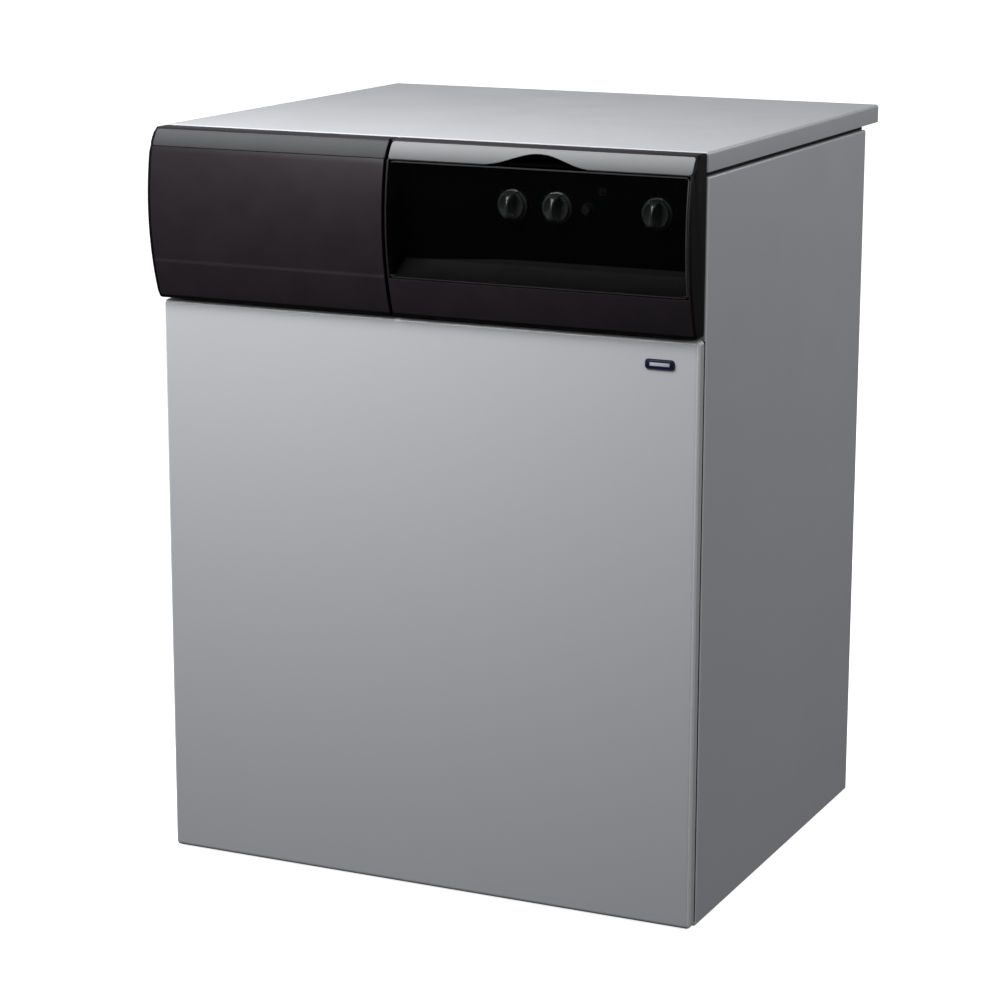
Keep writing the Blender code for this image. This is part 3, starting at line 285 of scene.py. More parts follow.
def painted(name, colour, roughness=0.34):
    """Stoved enamel on sheet steel: a fine orange peel and a little pigment float."""
    peel = (420.0, 0.00001), (2.2, 0.00035)
    return worn(name, colour, roughness, 0.0, (900.0, 0.03, 5.0), (14.0, 0.045), *peel).coat(0.12, 0.18)


def moulded(name, colour, roughness, shine=0.5, grain=2600.0, depth=0.000012):
    """Injection-moulded plastic with a spark-eroded grain."""
    return worn(name, colour, roughness, 0.0, (35.0, 0.1), (22.0, 0.05), (grain, depth)).gloss(shine)


# Heights over which the trims' painted shade runs from dark at the foot to light at the head
PAINTED_SHADE_HEIGHTS = (0.8295, 0.844)


def trim_with_painted_light(name, foot, head):
    """Metallic lacquer on plastic whose colour carries a painted reflection of the overhead light and grows
    darker towards its lower edge as painted shade, with fine flakes and a satin skin.
    """
    look = Look(name, head, 0.46).fade(*PAINTED_SHADE_HEIGHTS, foot, head).vary_roughness(30.0, 0.05)
    return look.bump((1500.0, 0.000006), (60.0, 0.00002)).gloss(0.06)


def matt_black(name):
    """A nearly lightless black: a black plastic taken far darker as painted shade."""
    black = (0.0015, 0.0017, 0.0016)
    return worn(name, black, 0.85, 0.0, (60.0, 0.2), (40.0, 0.05), (2200.0, 0.00002)).gloss(0.0)


def sheet_metal(name, colour, roughness, stretch):
    """Rolled or brushed sheet with its grain along one axis."""
    tint, wear = (60.0, 0.1, 4.0, stretch), (30.0, 0.08, stretch)
    return worn(name, colour, roughness, 1.0, tint, wear, (240.0, 0.00001, stretch))


def spangled(name):
    """Zinc-coated sheet with its crystal pattern."""
    look = Look(name, (0.42, 0.44, 0.45), 0.42, 0.45)
    cells = look.node("TexVoronoi", Scale=95.0)
    look.join(look.place, cells.inputs["Vector"])
    split = look.node("SeparateColor")
    look.join(cells.outputs["Color"], split.inputs[0])
    look.blend(look.ranged(split.outputs[0], 0, 1, 0.0, 1.0), (0.33, 0.35, 0.36), (0.5, 0.52, 0.53))
    look.join(look.ranged(split.outputs[1], 0.32, 0.52, 0.0, 1.0), look.shader.inputs["Roughness"])
    return look.bump((300.0, 0.000008))


def cast(name, colour, roughness, metallic, grain, depth):
    """Sand casting with a rough skin."""
    skin = (grain, depth), (grain * 0.25, depth * 2)
    return worn(name, colour, roughness, metallic, (60.0, 0.25, 6.0), (45.0, 0.12), *skin)


def smoked(name, tint, shine):
    """Thin dark acrylic that lets light through and keeps a polished skin."""
    made = bpy.data.materials.new(name)
    made.use_nodes = True
    tree = made.node_tree
    kinds = "BsdfTransparent BsdfGlossy TexCoord TexNoise MapRange Fresnel MixShader OutputMaterial"
    clear, gloss, place, smear, ranged, fresnel, mix, out = new_nodes(tree, kinds)
    fill(clear, Color=(*tint, 1))
    fill(gloss, Color=(0.9, 0.92, 0.92, 1))
    fill(smear, Scale=30.0)
    fill(ranged, To_Min=0.03, To_Max=0.09)
    fill(fresnel, IOR=shine)
    link(
        tree,
        (place.outputs["Object"], smear.inputs["Vector"]),
        (smear.outputs[0], ranged.inputs["Value"]),
        (ranged.outputs[0], gloss.inputs["Roughness"]),
        (fresnel.outputs[0], mix.inputs["Fac"]),
        (clear.outputs[0], mix.inputs[1]),
        (gloss.outputs[0], mix.inputs[2]),
        (mix.outputs[0], out.inputs["Surface"]),
    )
    return made


def mineral_wool():
    look = Look("mineral_wool", (0.52, 0.44, 0.24), 0.95).vary_colour(180.0, 0.28, 8.0, (1, 1, 4))
    look.spot_colour(240.0, (0.7, 0.62, 0.4), 0.3)
    return look.bump((260.0, 0.0012, (1, 1, 3)), (40.0, 0.003))


def circuit_board_look():
    look = Look("circuit_green", (0.01, 0.11, 0.035), 0.35)
    tracks = look.node("TexBrick", Scale=70.0, Mortar_Size=0.012, Mortar=(0.03, 0.2, 0.07, 1))
    fill(tracks, Color1=(0.008, 0.085, 0.028, 1), Color2=(0.01, 0.105, 0.034, 1))
    mapping = look.node("Mapping", Rotation=(math.pi / 2, 0, 0))
    look.join(look.place, mapping.inputs["Vector"])
    look.join(mapping.outputs[0], tracks.inputs["Vector"])
    look.join(tracks.outputs["Color"], look.shader.inputs["Base Color"])
    return look.vary_roughness(60.0, 0.1).bump((900.0, 0.00001))


# Each moulded look's colour and roughness, then its shine, grain and depth where they differ
MOULDED = {
    "dark_plastic": ((0.0165, 0.0128, 0.0157), 0.45, 0.18),
    "black_plastic": ((0.0085, 0.0085, 0.0085), 0.34),
    "rubber": ((0.012, 0.012, 0.012), 0.78, 0.5, 900.0, 0.00005),
    "yellow_plastic": ((0.72, 0.44, 0.02), 0.38),
    "brown_plastic": ((0.11, 0.06, 0.03), 0.5),
    "navy": ((0.0045, 0.005, 0.03), 0.3, 0.4),
    "badge_bar": ((0.42, 0.43, 0.47), 0.4),
    # The end caps' own black taken darker as painted shade, also the painted shadow on the gap strips and lid
    # seals
    "cap_and_shadow_black": ((0.0036, 0.0032, 0.0035), 0.55, 0.05),
    # painted highlight: opaque greys for the flap's lit edges
    "acrylic_painted_highlight": ((0.034, 0.034, 0.034), 0.34, 0.25),
    "acrylic_lip_painted_highlight": ((0.024, 0.025, 0.025), 0.5, 0.05),
    "knob_black": ((0.046, 0.043, 0.044), 0.3, 0.9, 3000.0, 0.000006),
    "mark_grey": ((0.03, 0.031, 0.031), 0.6),
    "dark_lens": ((0.012, 0.01, 0.008), 0.12, 0.6),
    "ledge_grey": ((0.021, 0.018, 0.019), 0.6, 0.1),
}


def make_materials():
    iron = cast("cast_iron", (0.06, 0.056, 0.053), 0.72, 0.35, 520.0, 0.00018)
    copper = Look("copper", (0.62, 0.27, 0.16), 0.26, 1.0).vary_colour(20.0, 0.14, 5.0)
    copper.spot_colour(9.0, (0.3, 0.13, 0.09), 0.36).vary_roughness(26.0, 0.1)
    brass = (0.6, 0.43, 0.17), 0.28, 1.0, (40.0, 0.12, 4.0), (60.0, 0.08), (500.0, 0.000015)
    enamel = (0.42, 0.018, 0.014), 0.3, 0.0, (12.0, 0.07), (30.0, 0.06), (400.0, 0.000012)
    lens = (0.42, 0.13, 0.02), 0.12, 0.0, (300.0, 0.15), (200.0, 0.04), (900.0, 0.00004)
    badge = (0.01, 0.018, 0.09), 0.22, 0.0, (300.0, 0.1), (90.0, 0.05), (800.0, 0.000006)
    looks = [moulded(name, *values) for name, values in MOULDED.items()]
    looks += [
        painted("painted_steel", (0.455, 0.465, 0.485), 0.4),
        # painted highlight: paler looks for the top bands' upper and right-hand rims
        painted("silver_edge", (0.4, 0.405, 0.41)),
        painted("grey_painted_highlight", (0.2, 0.203, 0.208)),
        # painted highlight: the paler paint on the steel skins' folds
        painted("painted_fold_highlight", (0.74, 0.745, 0.75)),
        # painted reflection and shade: the trims' colours carry the overhead light's reflection and grow
        # darker at the foot
        trim_with_painted_light("silver_trim", (0.1, 0.102, 0.105), (0.23, 0.234, 0.24)),
        trim_with_painted_light("grey_trim_painted_reflection", (0.036, 0.037, 0.039), (0.072, 0.073, 0.077)),
        spangled("galvanised_steel"),
        sheet_metal("stainless_steel", (0.52, 0.51, 0.49), 0.3, (1, 12, 12)),
        sheet_metal("dark_steel", (0.16, 0.16, 0.16), 0.38, (6, 6, 1)),
        iron.spot_colour(28.0, (0.105, 0.052, 0.03), 0.34),
        cast("cast_aluminium", (0.5, 0.51, 0.52), 0.42, 0.9, 700.0, 0.00006),
        mineral_wool(),
        copper.bump((60.0, 0.00003)),
        worn("brass", *brass),
        worn("red_enamel", *enamel).coat(0.5, 0.1),
        worn("lamp_lens", *lens),
        worn("badge_blue", *badge).coat(0.6, 0.06),
        circuit_board_look(),
        # The control plate's own black, taken near lightless as painted shade in the recess behind the flap
        matt_black("plate_and_shadow_black"),
    ]
    made = {look.name: look.material for look in looks}
    made["smoked_acrylic"] = smoked("smoked_acrylic", (0.75, 0.77, 0.765), 1.13)
    return made


MATERIALS = make_materials()
CAD_LOOKS = {
    # painted shade: the control plate near lightless, for the shade in the recess
    "control_panel": "plate_and_shadow_black",
    "indicator_lamp": "dark_lens",
    # painted shadow: the lid seals in the near-lightless black so the gap under the lid reads dark
    "lid_seal_left": "cap_and_shadow_black",
    "lid_seal_right": "cap_and_shadow_black",
}


def finish_cad_nodes():
    """Every carried-over node gets its slot's procedural material, or the look that CAD_LOOKS names for it.
    """
    for part in frame["record"]["subparts"]:
        data = frame["nodes"][part["node"]].data
        data.materials.clear()
        data.materials.append(MATERIALS[CAD_LOOKS.get(part["node"], part["material_slot"])])


# ---- mesh helpers


SMOOTH_ANGLE = 38.0
SHEET = 0.0015
PLATE = 0.002
# Small gaps that keep two pieces' faces apart
TOUCH = 0.0001
HAIR = 0.00005
AXIS_TIP = 0.00002


def middle_of(node):
    low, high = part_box(node)
    return (low + high) / 2


def smoothed(mesh, angle=SMOOTH_ANGLE):
    """Smooth faces with sharp folds."""
    mesh.shade_smooth()
    mesh.set_sharp_from_angle(angle=math.radians(angle))


def as_object(name, shape, angle=SMOOTH_ANGLE):
    bmesh.ops.recalc_face_normals(shape, faces=shape.faces)
    mesh = bpy.data.meshes.new(name)
    shape.to_mesh(mesh)
    shape.free()
    smoothed(mesh, angle)
    return linked(name, mesh)


def settled(obj):
    """The object with its modifiers applied and its helper objects removed."""
    helpers = [m.object for m in obj.modifiers if m.type == "BOOLEAN" and m.object]
    bpy.context.view_layer.update()
    graph = bpy.context.evaluated_depsgraph_get()
    mesh = bpy.data.meshes.new_from_object(obj.evaluated_get(graph))
    obj.modifiers.clear()
    obj.data = mesh
    smoothed(mesh)
    for helper in helpers:
        bpy.data.objects.remove(helper)
    return obj


def modify(obj, kind, **values):
    made = obj.modifiers.new(kind.lower(), kind)
    for name, value in values.items():
        setattr(made, name, value)
    return obj


def rounded(obj, width, segments, angle=48.0):
    """Rounds the folds sharper than an angle."""
    limit = math.radians(angle)
    return modify(obj, "BEVEL", width=width, segments=segments, limit_method="ANGLE", angle_limit=limit)


def boolean(obj, operation, *tools):
    for tool in tools:
        modify(obj, "BOOLEAN", operation=operation, solver="EXACT", object=tool)
    return obj


def box_shape(low, high):
    low, high = Vector(low), Vector(high)
    shape = bmesh.new()
    bmesh.ops.create_cube(shape, size=1.0)
    bmesh.ops.transform(shape, matrix=Matrix.Diagonal((*(high - low), 1)), verts=shape.verts)
    bmesh.ops.translate(shape, vec=(low + high) / 2, verts=shape.verts)
    return shape


def round_edges(shape, edges, radius, segments, **options):
    options.update(profile=0.5, affect="EDGES")
    bmesh.ops.bevel(shape, geom=edges, offset=radius, segments=segments, **options)


def cuboid(name, low, high, radius=0.0, segments=3):
    """A box between two corners with rounded edges."""
    shape = box_shape(low, high)
    if radius:
        round_edges(shape, shape.edges[:], radius, segments)
    return as_object(name, shape)


def pressed_pan(name, low, high, open_towards, radius, segments):
    """A drawn sheet-steel pan with rounded corners, open towards one side."""
    shape = box_shape(low, high)
    direction = Vector(open_towards)
    gone = max(shape.faces, key=lambda face: face.normal.dot(direction))
    bmesh.ops.delete(shape, geom=[gone], context="FACES")
    round_edges(shape, [edge for edge in shape.edges if not edge.is_boundary], radius, segments)
    pan = as_object(name, shape)
    return settled(modify(pan, "SOLIDIFY", thickness=SHEET, offset=-1, use_even_offset=True))


def skin_of(loops, wrap=False):
    """A closed skin through loops of equally many points, joined end to start if wrap is set."""
    shape = bmesh.new()
    rings = [[shape.verts.new(point) for point in loop] for loop in loops]
    following = rings[1:] + rings[:1] if wrap else rings[1:]
    for first, second in zip(rings, following):
        for i in range(len(first)):
            j = (i + 1) % len(first)
            shape.faces.new((first[i], first[j], second[j], second[i]))
    if not wrap:
        shape.faces.new(rings[0])
        shape.faces.new(rings[-1])
    return shape, rings


def loft(name, loops, wrap=False, angle=SMOOTH_ANGLE):
    return as_object(name, skin_of(loops, wrap)[0], angle)


AXES = {
    "X": (Vector((0, 1, 0)), Vector((0, 0, 1)), Vector((1, 0, 0))),
    "Y": (Vector((1, 0, 0)), Vector((0, 0, 1)), Vector((0, 1, 0))),
    "Z": (Vector((1, 0, 0)), Vector((0, 1, 0)), Vector((0, 0, 1))),
}


def circle(centre, axis, height, radius, steps=48, sides=0):
    """A loop of points about an axis: round, or with flat sides at that apothem."""
    across, up, along = AXES[axis]
    loop = []
    for i in range(steps):
        angle = TURN * i / steps
        reach = radius
        if sides:
            wedge = TURN / sides
            reach = radius / math.cos((angle % wedge) - wedge / 2)
        offset = across * math.cos(angle) * reach + up * math.sin(angle) * reach
        loop.append(Vector(centre) + offset + along * height)
    return loop


def lathe(name, centre, axis, profile, steps=48, wrap=False):
    """A profile of (radius, height) turned about an axis through centre."""
    loops = [circle(centre, axis, height, max(radius, AXIS_TIP), steps) for radius, height in profile]
    return loft(name, loops, wrap)


def nut(name, x, z, start, end, apothem, bore, y=0, axis="Y"):
    """A hexagon nut with chamfered corners round a bore."""
    chamfer = apothem * 0.1
    face = apothem * 0.97
    sections = (
        (start, bore, 0),
        (start, face, 0),
        (start + chamfer, apothem, 6),
        (end - chamfer, apothem, 6),
        (end, face, 0),
        (end, bore, 0),
    )
    loops = [circle((x, y, z), axis, height, radius, sides=sides) for height, radius, sides in sections]
    return loft(name, loops, True, 25.0)


def prism(name, profile, start, end):
    """A (y, z) outline carried along X."""
    return loft(name, [[Vector((x, y, z)) for y, z in profile] for x in (start, end)])


def joined(name, objects):
    """Several meshes made into one object."""
    shape = bmesh.new()
    for obj in objects:
        shape.from_mesh(obj.data)
        bpy.data.objects.remove(obj)
    return as_object(name, shape)


def place(obj, slot, look=None, body="casing", replaced=None):
    """Gives a piece its look and its body, and hides the node that it stands for."""
    if look or not obj.data.materials:
        obj.data.materials.clear()
        obj.data.materials.append(MATERIALS[look or slot])
    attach(obj, body)
    if replaced:
        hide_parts(replaced)


def place_ring(name, x, z, profile, slot, steps=48):
    """A turned ring on the casing, about an axis along Y."""
    place(lathe(name, (x, 0, z), "Y", profile, steps, wrap=True), slot)


# ---- casing


PAN_RADIUS = 0.005
SIDE_RADIUS = 0.0022
LID_RADIUS = 0.0032
# Black strips in the gaps between the front panel and the side panels: painted shadow that makes the gaps
# read dark
FRONT_SHADOW_X = (0.3095, 0.3248)
FRONT_SHADOW_Z = (0.006, 0.652)
FRONT_SHADOW_DEPTH = 0.0034


# An enamelled skin with a painted highlight on its folds: the fold faces get a paler paint that stands in for
# the light they catch
ENAMEL_AND_FOLD_HIGHLIGHT = ("painted_steel", "painted_fold_highlight")


def paint(obj, looks, choose):
    """Gives a piece several looks, and each face the one whose number choose(face) tells."""
    for look in looks:
        obj.data.materials.append(MATERIALS[look])
    for face in obj.data.polygons:
        face.material_index = int(choose(face))


def make_casing():
    for node in ("left_side_panel", "right_side_panel"):
        low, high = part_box(node)
        side = -1 if low.x < 0 else 1
        skin = pressed_pan(f"{node}_skin", low, high, (-side, 0, 0), SIDE_RADIUS, 5)
        # painted highlight: the side panel's front fold gets the paler paint
        paint(skin, ENAMEL_AND_FOLD_HIGHLIGHT, lambda face: face.center.y < low.y + SIDE_RADIUS and abs(face.normal.x) > 0.2)
        place(skin, "painted_steel", replaced=node)
        # painted shadow: a black strip in the gap in front of the side panel
        inner, outer = sorted(side * x for x in FRONT_SHADOW_X)
        corners = (inner, low.y - FRONT_SHADOW_DEPTH, FRONT_SHADOW_Z[0]), (outer, low.y - TOUCH, FRONT_SHADOW_Z[1])
        place(cuboid(f"{node}_front_shadow_strip", *corners, 0.001), "rubber", "cap_and_shadow_black")
    skin = pressed_pan("lid_skin", *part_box("lid"), (0, 0, -1), LID_RADIUS, 6)
    place(skin, "painted_steel", body="lid", replaced="lid")
    low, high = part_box("front_panel")
    skin = pressed_pan("front_panel_skin", low, high, (0, 1, 0), PAN_RADIUS, 8)

    def takes_fold_highlight(face):
        """Tells the front panel's side and top folds, which get the painted highlight."""
        return 0.45 < max(abs(face.normal.x), face.normal.z) < 0.97 and face.normal.y < -0.2

    paint(skin, ENAMEL_AND_FOLD_HIGHLIGHT, takes_fold_highlight)
    place(skin, "painted_steel", body="front_panel", replaced="front_panel")
    make_panel_stiffeners(low.y + SHEET + 0.0003)


RIB_HEIGHTS = (0.2, 0.46)
RIB_HALF_LENGTH = 0.29
RIB_SHEET = 0.0012
# Half of the ribs' hat section: the depth behind the panel and the height off the rib's middle
RIB_HAT = ((0.0, 0.03), (0.0, 0.016), (0.008, 0.012))
RIB_HAT_INSIDE = ((RIB_SHEET, 0.03), (RIB_SHEET, 0.0168), (0.008 + RIB_SHEET, 0.013))
CLIP_X = 0.312
CLIP_HEIGHTS = (0.06, 0.6)


def make_panel_stiffeners(rear):
    """Two hat-section ribs and four spring clips behind the front panel."""
    ribs = []
    for z in RIB_HEIGHTS:
        front = [(rear + depth, z - off) for depth, off in RIB_HAT]
        front += [(rear + depth, z + off) for depth, off in reversed(RIB_HAT)]
        back = [(rear + depth, z + off) for depth, off in RIB_HAT_INSIDE]
        back += [(rear + depth, z - off) for depth, off in reversed(RIB_HAT_INSIDE)]
        ribs.append(prism("rib", front + back, -RIB_HALF_LENGTH, RIB_HALF_LENGTH))
    place(joined("front_panel_ribs", ribs), "galvanised_steel", body="front_panel")
    clips = []
    for x in (-CLIP_X, CLIP_X):
        for z in CLIP_HEIGHTS:
            low, high = (x - 0.006, rear, z - 0.012), (x + 0.006, rear + 0.011, z + 0.012)
            clips.append(cuboid("clip", low, high, 0.001))
    place(joined("front_panel_clips", clips), "galvanised_steel", "dark_steel", "front_panel")


BADGE_CORNER = 0.0032
BADGE_BOW = 0.0018
BAR_HALF = (0.0112, 0.0018)


def make_badge():
    """A plain barrel-shaped plate: a rim, a sunk field and a pale bar."""
    low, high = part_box("badge_plate")
    middle = (low + high) / 2
    width, height = (high.x - low.x) / 2, (high.z - low.z) / 2
    back, front = high.y, low.y

    def pill(inset, y, steps=10):
        """The plate's outline: rounded corners and slightly bowed long sides."""
        points = []
        for quarter, (sx, sz) in enumerate(((1, 1), (-1, 1), (-1, -1), (1, -1))):
            for i in range(steps + 1):
                angle = TURN / 4 * (quarter + i / steps)
                x = sx * (width - BADGE_CORNER) + (BADGE_CORNER - inset) * math.cos(angle)
                z = sz * (height - BADGE_CORNER) + (BADGE_CORNER - inset) * math.sin(angle)
                bow = BADGE_BOW * (x / width) ** 2
                points.append(Vector((middle.x + x, y, middle.z + z - math.copysign(bow, sz))))
        return points

    sunk = front + 0.0004
    rim = [(0, back), (0, front + 0.0005), (0.0004, front), (0.001, front), (0.0013, sunk), (0.0013, back)]
    field = [(0.00135, back), (0.00135, front + 0.0005), (0.0018, front + 0.0003)]
    rim = loft("badge_rim", [pill(inset, y) for inset, y in rim], wrap=True)
    place(rim, "badge_blue", "navy", "front_panel")
    field = loft("badge_field", [pill(inset, y) for inset, y in field])
    place(field, "badge_blue", "navy", "front_panel", "badge_plate")
    half_x, half_z = BAR_HALF
    low = (middle.x - half_x, front - 0.00005, middle.z - half_z)
    high = (middle.x + half_x, sunk, middle.z + half_z)
    place(cuboid("badge_bar", low, high, 0.00012, 2), "badge_blue", "badge_bar", "front_panel")


# ---- fascia


FASCIA_RADIUS = 0.3
FASCIA_CENTRE_Y = -0.008
BULGE_Z = 0.765
FASCIA_REAR_Y = -0.2665
FASCIA_BOTTOM_Z = 0.657
FASCIA_TOP_Z = 0.849
CORNER = 0.0012
BAND_BOTTOM_Z = 0.829
BAND_HEAD_Z = 0.8468
BAND_TOP = (-0.2885, 0.8475)
BAND_EDGE_Y = -0.2865
BAND_DEPTH = 0.0016
BAND_CROWN = 0.001
SPLIT_START = -0.0327
SPLIT_END = -0.0285
CAP_INNER_X = 0.322
CAP_OUTER_X = 0.325
CAP_ROUNDING = 0.0024
WINDOW_BOTTOM_Z = 0.7
WINDOW_TOP_Z = 0.8285
WINDOW_CUT_Y = (-0.32, -0.29)
NOTCH_X = 0.1465
NOTCH_WIDTH = 0.125
NOTCH_RISE = 0.0128
NOTCH_CUT_Y = (-0.32, -0.2875)
JAMB = 0.0015
WALL = 0.0025
RIDGE_Z = 0.7015
RIDGE_STEP = -0.00025


def front_y(z, inset=0.0):
    """The fascia's front surface: an arc about an axis along X."""
    reach = FASCIA_RADIUS - inset
    return FASCIA_CENTRE_Y - math.sqrt(reach**2 - (z - BULGE_Z) ** 2)


def arc(start, end, steps, inset=0.0):
    heights = [start + (end - start) * i / steps for i in range(steps + 1)]
    return [(front_y(z, inset), z) for z in heights]


def band_y(z, depth=0.0):
    """The top band's front surface: a shallow crown from its foot to the fascia's top edge."""
    foot = front_y(BAND_BOTTOM_Z) + 0.0008
    t = (z - BAND_BOTTOM_Z) / (BAND_TOP[1] - BAND_BOTTOM_Z)
    t = min(1.0, max(0.0, t))
    return foot + (BAND_TOP[0] - foot) * t - BAND_CROWN * 4 * t * (1 - t) + depth


def body_outline(ridge=False):
    """The dark moulding's section with the top band's seat and, if asked, a fine ridge low down."""
    head = BAND_HEAD_Z + 0.0003
    seat = [(band_y(z, BAND_DEPTH), z) for z in (head, 0.841, 0.835, BAND_BOTTOM_Z)]
    toe, foot, bend = front_y(FASCIA_BOTTOM_Z), FASCIA_BOTTOM_Z, FASCIA_BOTTOM_Z + CORNER
    bottom = [(front_y(bend), bend), (toe + 0.0003, foot + 0.0004)]
    bottom += [(toe + CORNER, foot), (FASCIA_REAR_Y, foot)]
    top = [(FASCIA_REAR_Y, FASCIA_TOP_Z), (BAND_EDGE_Y, FASCIA_TOP_Z)]
    top += [(BAND_TOP[0] + 0.0003, 0.848), (band_y(head) + 0.0002, head)]
    front = arc(BAND_BOTTOM_Z - 0.0003, FASCIA_BOTTOM_Z + CORNER + 0.001, 26)
    if ridge:
        above = [point for point in front if point[1] > RIDGE_Z + 0.001]
        below = [(y + RIDGE_STEP, z) for y, z in front if z < RIDGE_Z - 0.001]
        edge = [(front_y(RIDGE_Z), RIDGE_Z + 0.0003), (front_y(RIDGE_Z) + RIDGE_STEP, RIDGE_Z - 0.0003)]
        front = above + edge + below
    return top + seat + front + bottom


def body_inside():
    bottom_z = FASCIA_BOTTOM_Z + WALL
    front = arc(bottom_z, BAND_BOTTOM_Z - WALL, 12, WALL)
    top_z = FASCIA_TOP_Z - WALL
    slope = [(band_y(0.842, BAND_DEPTH + WALL), 0.842), (BAND_TOP[0] + 2 * WALL, top_z)]
    return [(FASCIA_REAR_Y, bottom_z), *front, *slope, (FASCIA_REAR_Y, top_z)]


def cap_outline():
    """The end caps' section, which covers the band's end too."""
    top = [(FASCIA_REAR_Y, FASCIA_TOP_Z), (BAND_EDGE_Y, FASCIA_TOP_Z), BAND_TOP]
    crown = [(band_y(z), z) for z in (0.843, 0.838, 0.8335)]
    front = arc(BAND_BOTTOM_Z, FASCIA_BOTTOM_Z + CORNER, 26)
    toe = front_y(FASCIA_BOTTOM_Z) + CORNER
    return top + crown + front + [(toe, FASCIA_BOTTOM_Z), (FASCIA_REAR_Y, FASCIA_BOTTOM_Z)]


def notch_edge(x):
    """How far the finger notch rises above the window's top at an x place."""
    t = (x - NOTCH_X) / NOTCH_WIDTH + 0.5
    if t <= 0 or t >= 1:
        return 0.0
    return NOTCH_RISE * (1 - math.cos(TURN * t)) / 2


CROWDING = (0, 0.03, 0.12, 0.28, 0.5, 0.75, 1)


def spread(start, end, count, crowd):
    """Places from start to end with extra ones close to both ends."""
    inner = [start + (end - start) * i / count for i in range(count + 1)]
    near = [start + crowd * share for share in CROWDING]
    far = [end - crowd * share for share in reversed(CROWDING)]
    return near + [x for x in inner if start + crowd < x < end - crowd] + far


def curved_plate(name, start, end, low, high, surface, depth, columns, rows, corner=0.0, lower=None, lip=0.0):
    """A plate on a surface y(z) between two x places, with rounded corners and a shaped lower edge.

    A lip gives it one narrow row of faces along its lower and its upper edge.
    """
    shape = bmesh.new()
    front, back = [], []
    for x in spread(start, end, columns, max(corner, 0.001)):
        reach = min(x - start, end - x)
        trim = 0.0
        if corner and reach < corner:
            trim = corner - math.sqrt(max(0.0, corner**2 - (corner - reach) ** 2))
        bottom = low + (lower(x) if lower else 0.0) + trim
        top = high - trim
        inner = rows - 2 if lip else rows
        heights = [bottom + lip + (top - bottom - 2 * lip) * k / inner for k in range(inner + 1)]
        if lip:
            heights = [bottom, *heights, top]
        front.append([shape.verts.new((x, surface(z), z)) for z in heights])
        back.append([shape.verts.new((x, surface(z) + depth, z)) for z in heights])
    last = len(front) - 1
    for i in range(last):
        for k in range(rows):
            shape.faces.new((front[i][k], front[i + 1][k], front[i + 1][k + 1], front[i][k + 1]))
            shape.faces.new((back[i][k], back[i][k + 1], back[i + 1][k + 1], back[i + 1][k]))
        for k in (0, rows):
            shape.faces.new((front[i][k], front[i + 1][k], back[i + 1][k], back[i][k]))
    for i in (0, last):
        for k in range(rows):
            shape.faces.new((front[i][k], front[i][k + 1], back[i][k + 1], back[i][k]))
    return as_object(name, shape)


def make_band(name, start, end, foot, columns, corner, lower, *looks):
    """A top band, with a painted highlight on its upper and right-hand edges."""
    plate = (foot, BAND_HEAD_Z, band_y, BAND_DEPTH - TOUCH)
    band = curved_plate(name, start, end, *plate, columns, 10, corner, lower)
    settled(rounded(band, 0.0008, 4, 40.0))
    # painted highlight: faces that face up or to the right take the paler rim look
    paint(band, looks, lambda face: face.normal.z > 0.72 or face.normal.x > 0.5)
    place(band, "dark_plastic")


def make_foot_shadow_strip(name, start, end):
    """A black strip along the fascia's lower edge: painted shadow under the fascia's overhang."""
    foot, bend, edge = FASCIA_BOTTOM_Z, FASCIA_BOTTOM_Z + CORNER, FASCIA_BOTTOM_Z + 0.0036
    toe = front_y(foot)
    section = [(front_y(z) - 0.0003, z) for z in (edge, bend)]
    section += [(toe + 0.0006, foot - TOUCH), (toe + 0.01, foot - TOUCH), (toe + 0.01, foot + 0.0003)]
    section += [(toe + 0.002, foot + 0.0006), (front_y(edge) + 0.0004, edge)]
    # painted shadow: the strip's near-lightless black
    place(prism(name, section, start, end), "black_plastic", "cap_and_shadow_black")


def make_fascia_left():
    start, end = -CAP_INNER_X + 0.0003, SPLIT_START
    body = prism("fascia_left_body", body_outline(True) + body_inside(), start, end)
    wall = prism("tool", body_outline(True), end - JAMB, end)
    body = settled(rounded(boolean(body, "UNION", wall), 0.0006, 2))
    place(body, "dark_plastic", replaced="fascia_left_cover")
    foot = BAND_BOTTOM_Z + 0.0005
    make_band("top_band_left", start, end - 0.0002, foot, 20, 0.0012, None, "grey_trim_painted_reflection", "grey_painted_highlight")
    make_foot_shadow_strip("foot_shadow_strip_left", start, end)


def make_fascia_right():
    start, end = SPLIT_END, CAP_INNER_X - 0.0003
    body = prism("fascia_right_body", body_outline() + body_inside(), start, end)
    wall = prism("tool", body_outline(), start, start + JAMB)
    front, rear = WINDOW_CUT_Y
    window = cuboid("tool", (start + JAMB, front, WINDOW_BOTTOM_Z), (end - JAMB, rear, WINDOW_TOP_Z))
    steps = 24
    foot = WINDOW_TOP_Z - 0.004
    notch = [(NOTCH_X + NOTCH_WIDTH / 2, foot), (NOTCH_X - NOTCH_WIDTH / 2, foot)]
    for i in range(steps + 1):
        x = NOTCH_X + NOTCH_WIDTH * (i / steps - 0.5)
        notch.append((x, WINDOW_TOP_Z + notch_edge(x)))
    cutter = loft("tool", [[Vector((x, y, z)) for x, z in notch] for y in NOTCH_CUT_Y])
    boolean(body, "UNION", wall)
    boolean(body, "DIFFERENCE", window, cutter)
    body = settled(rounded(body, 0.0005, 2))
    place(body, "dark_plastic", replaced="fascia_right_frame")
    span = (start + 0.0006, end - 0.0008, BAND_BOTTOM_Z + 0.0003)
    make_band("top_band_right", *span, 90, 0.003, notch_edge, "silver_trim", "silver_edge")
    make_foot_shadow_strip("foot_shadow_strip_right", start, end)
    make_finger_cup()


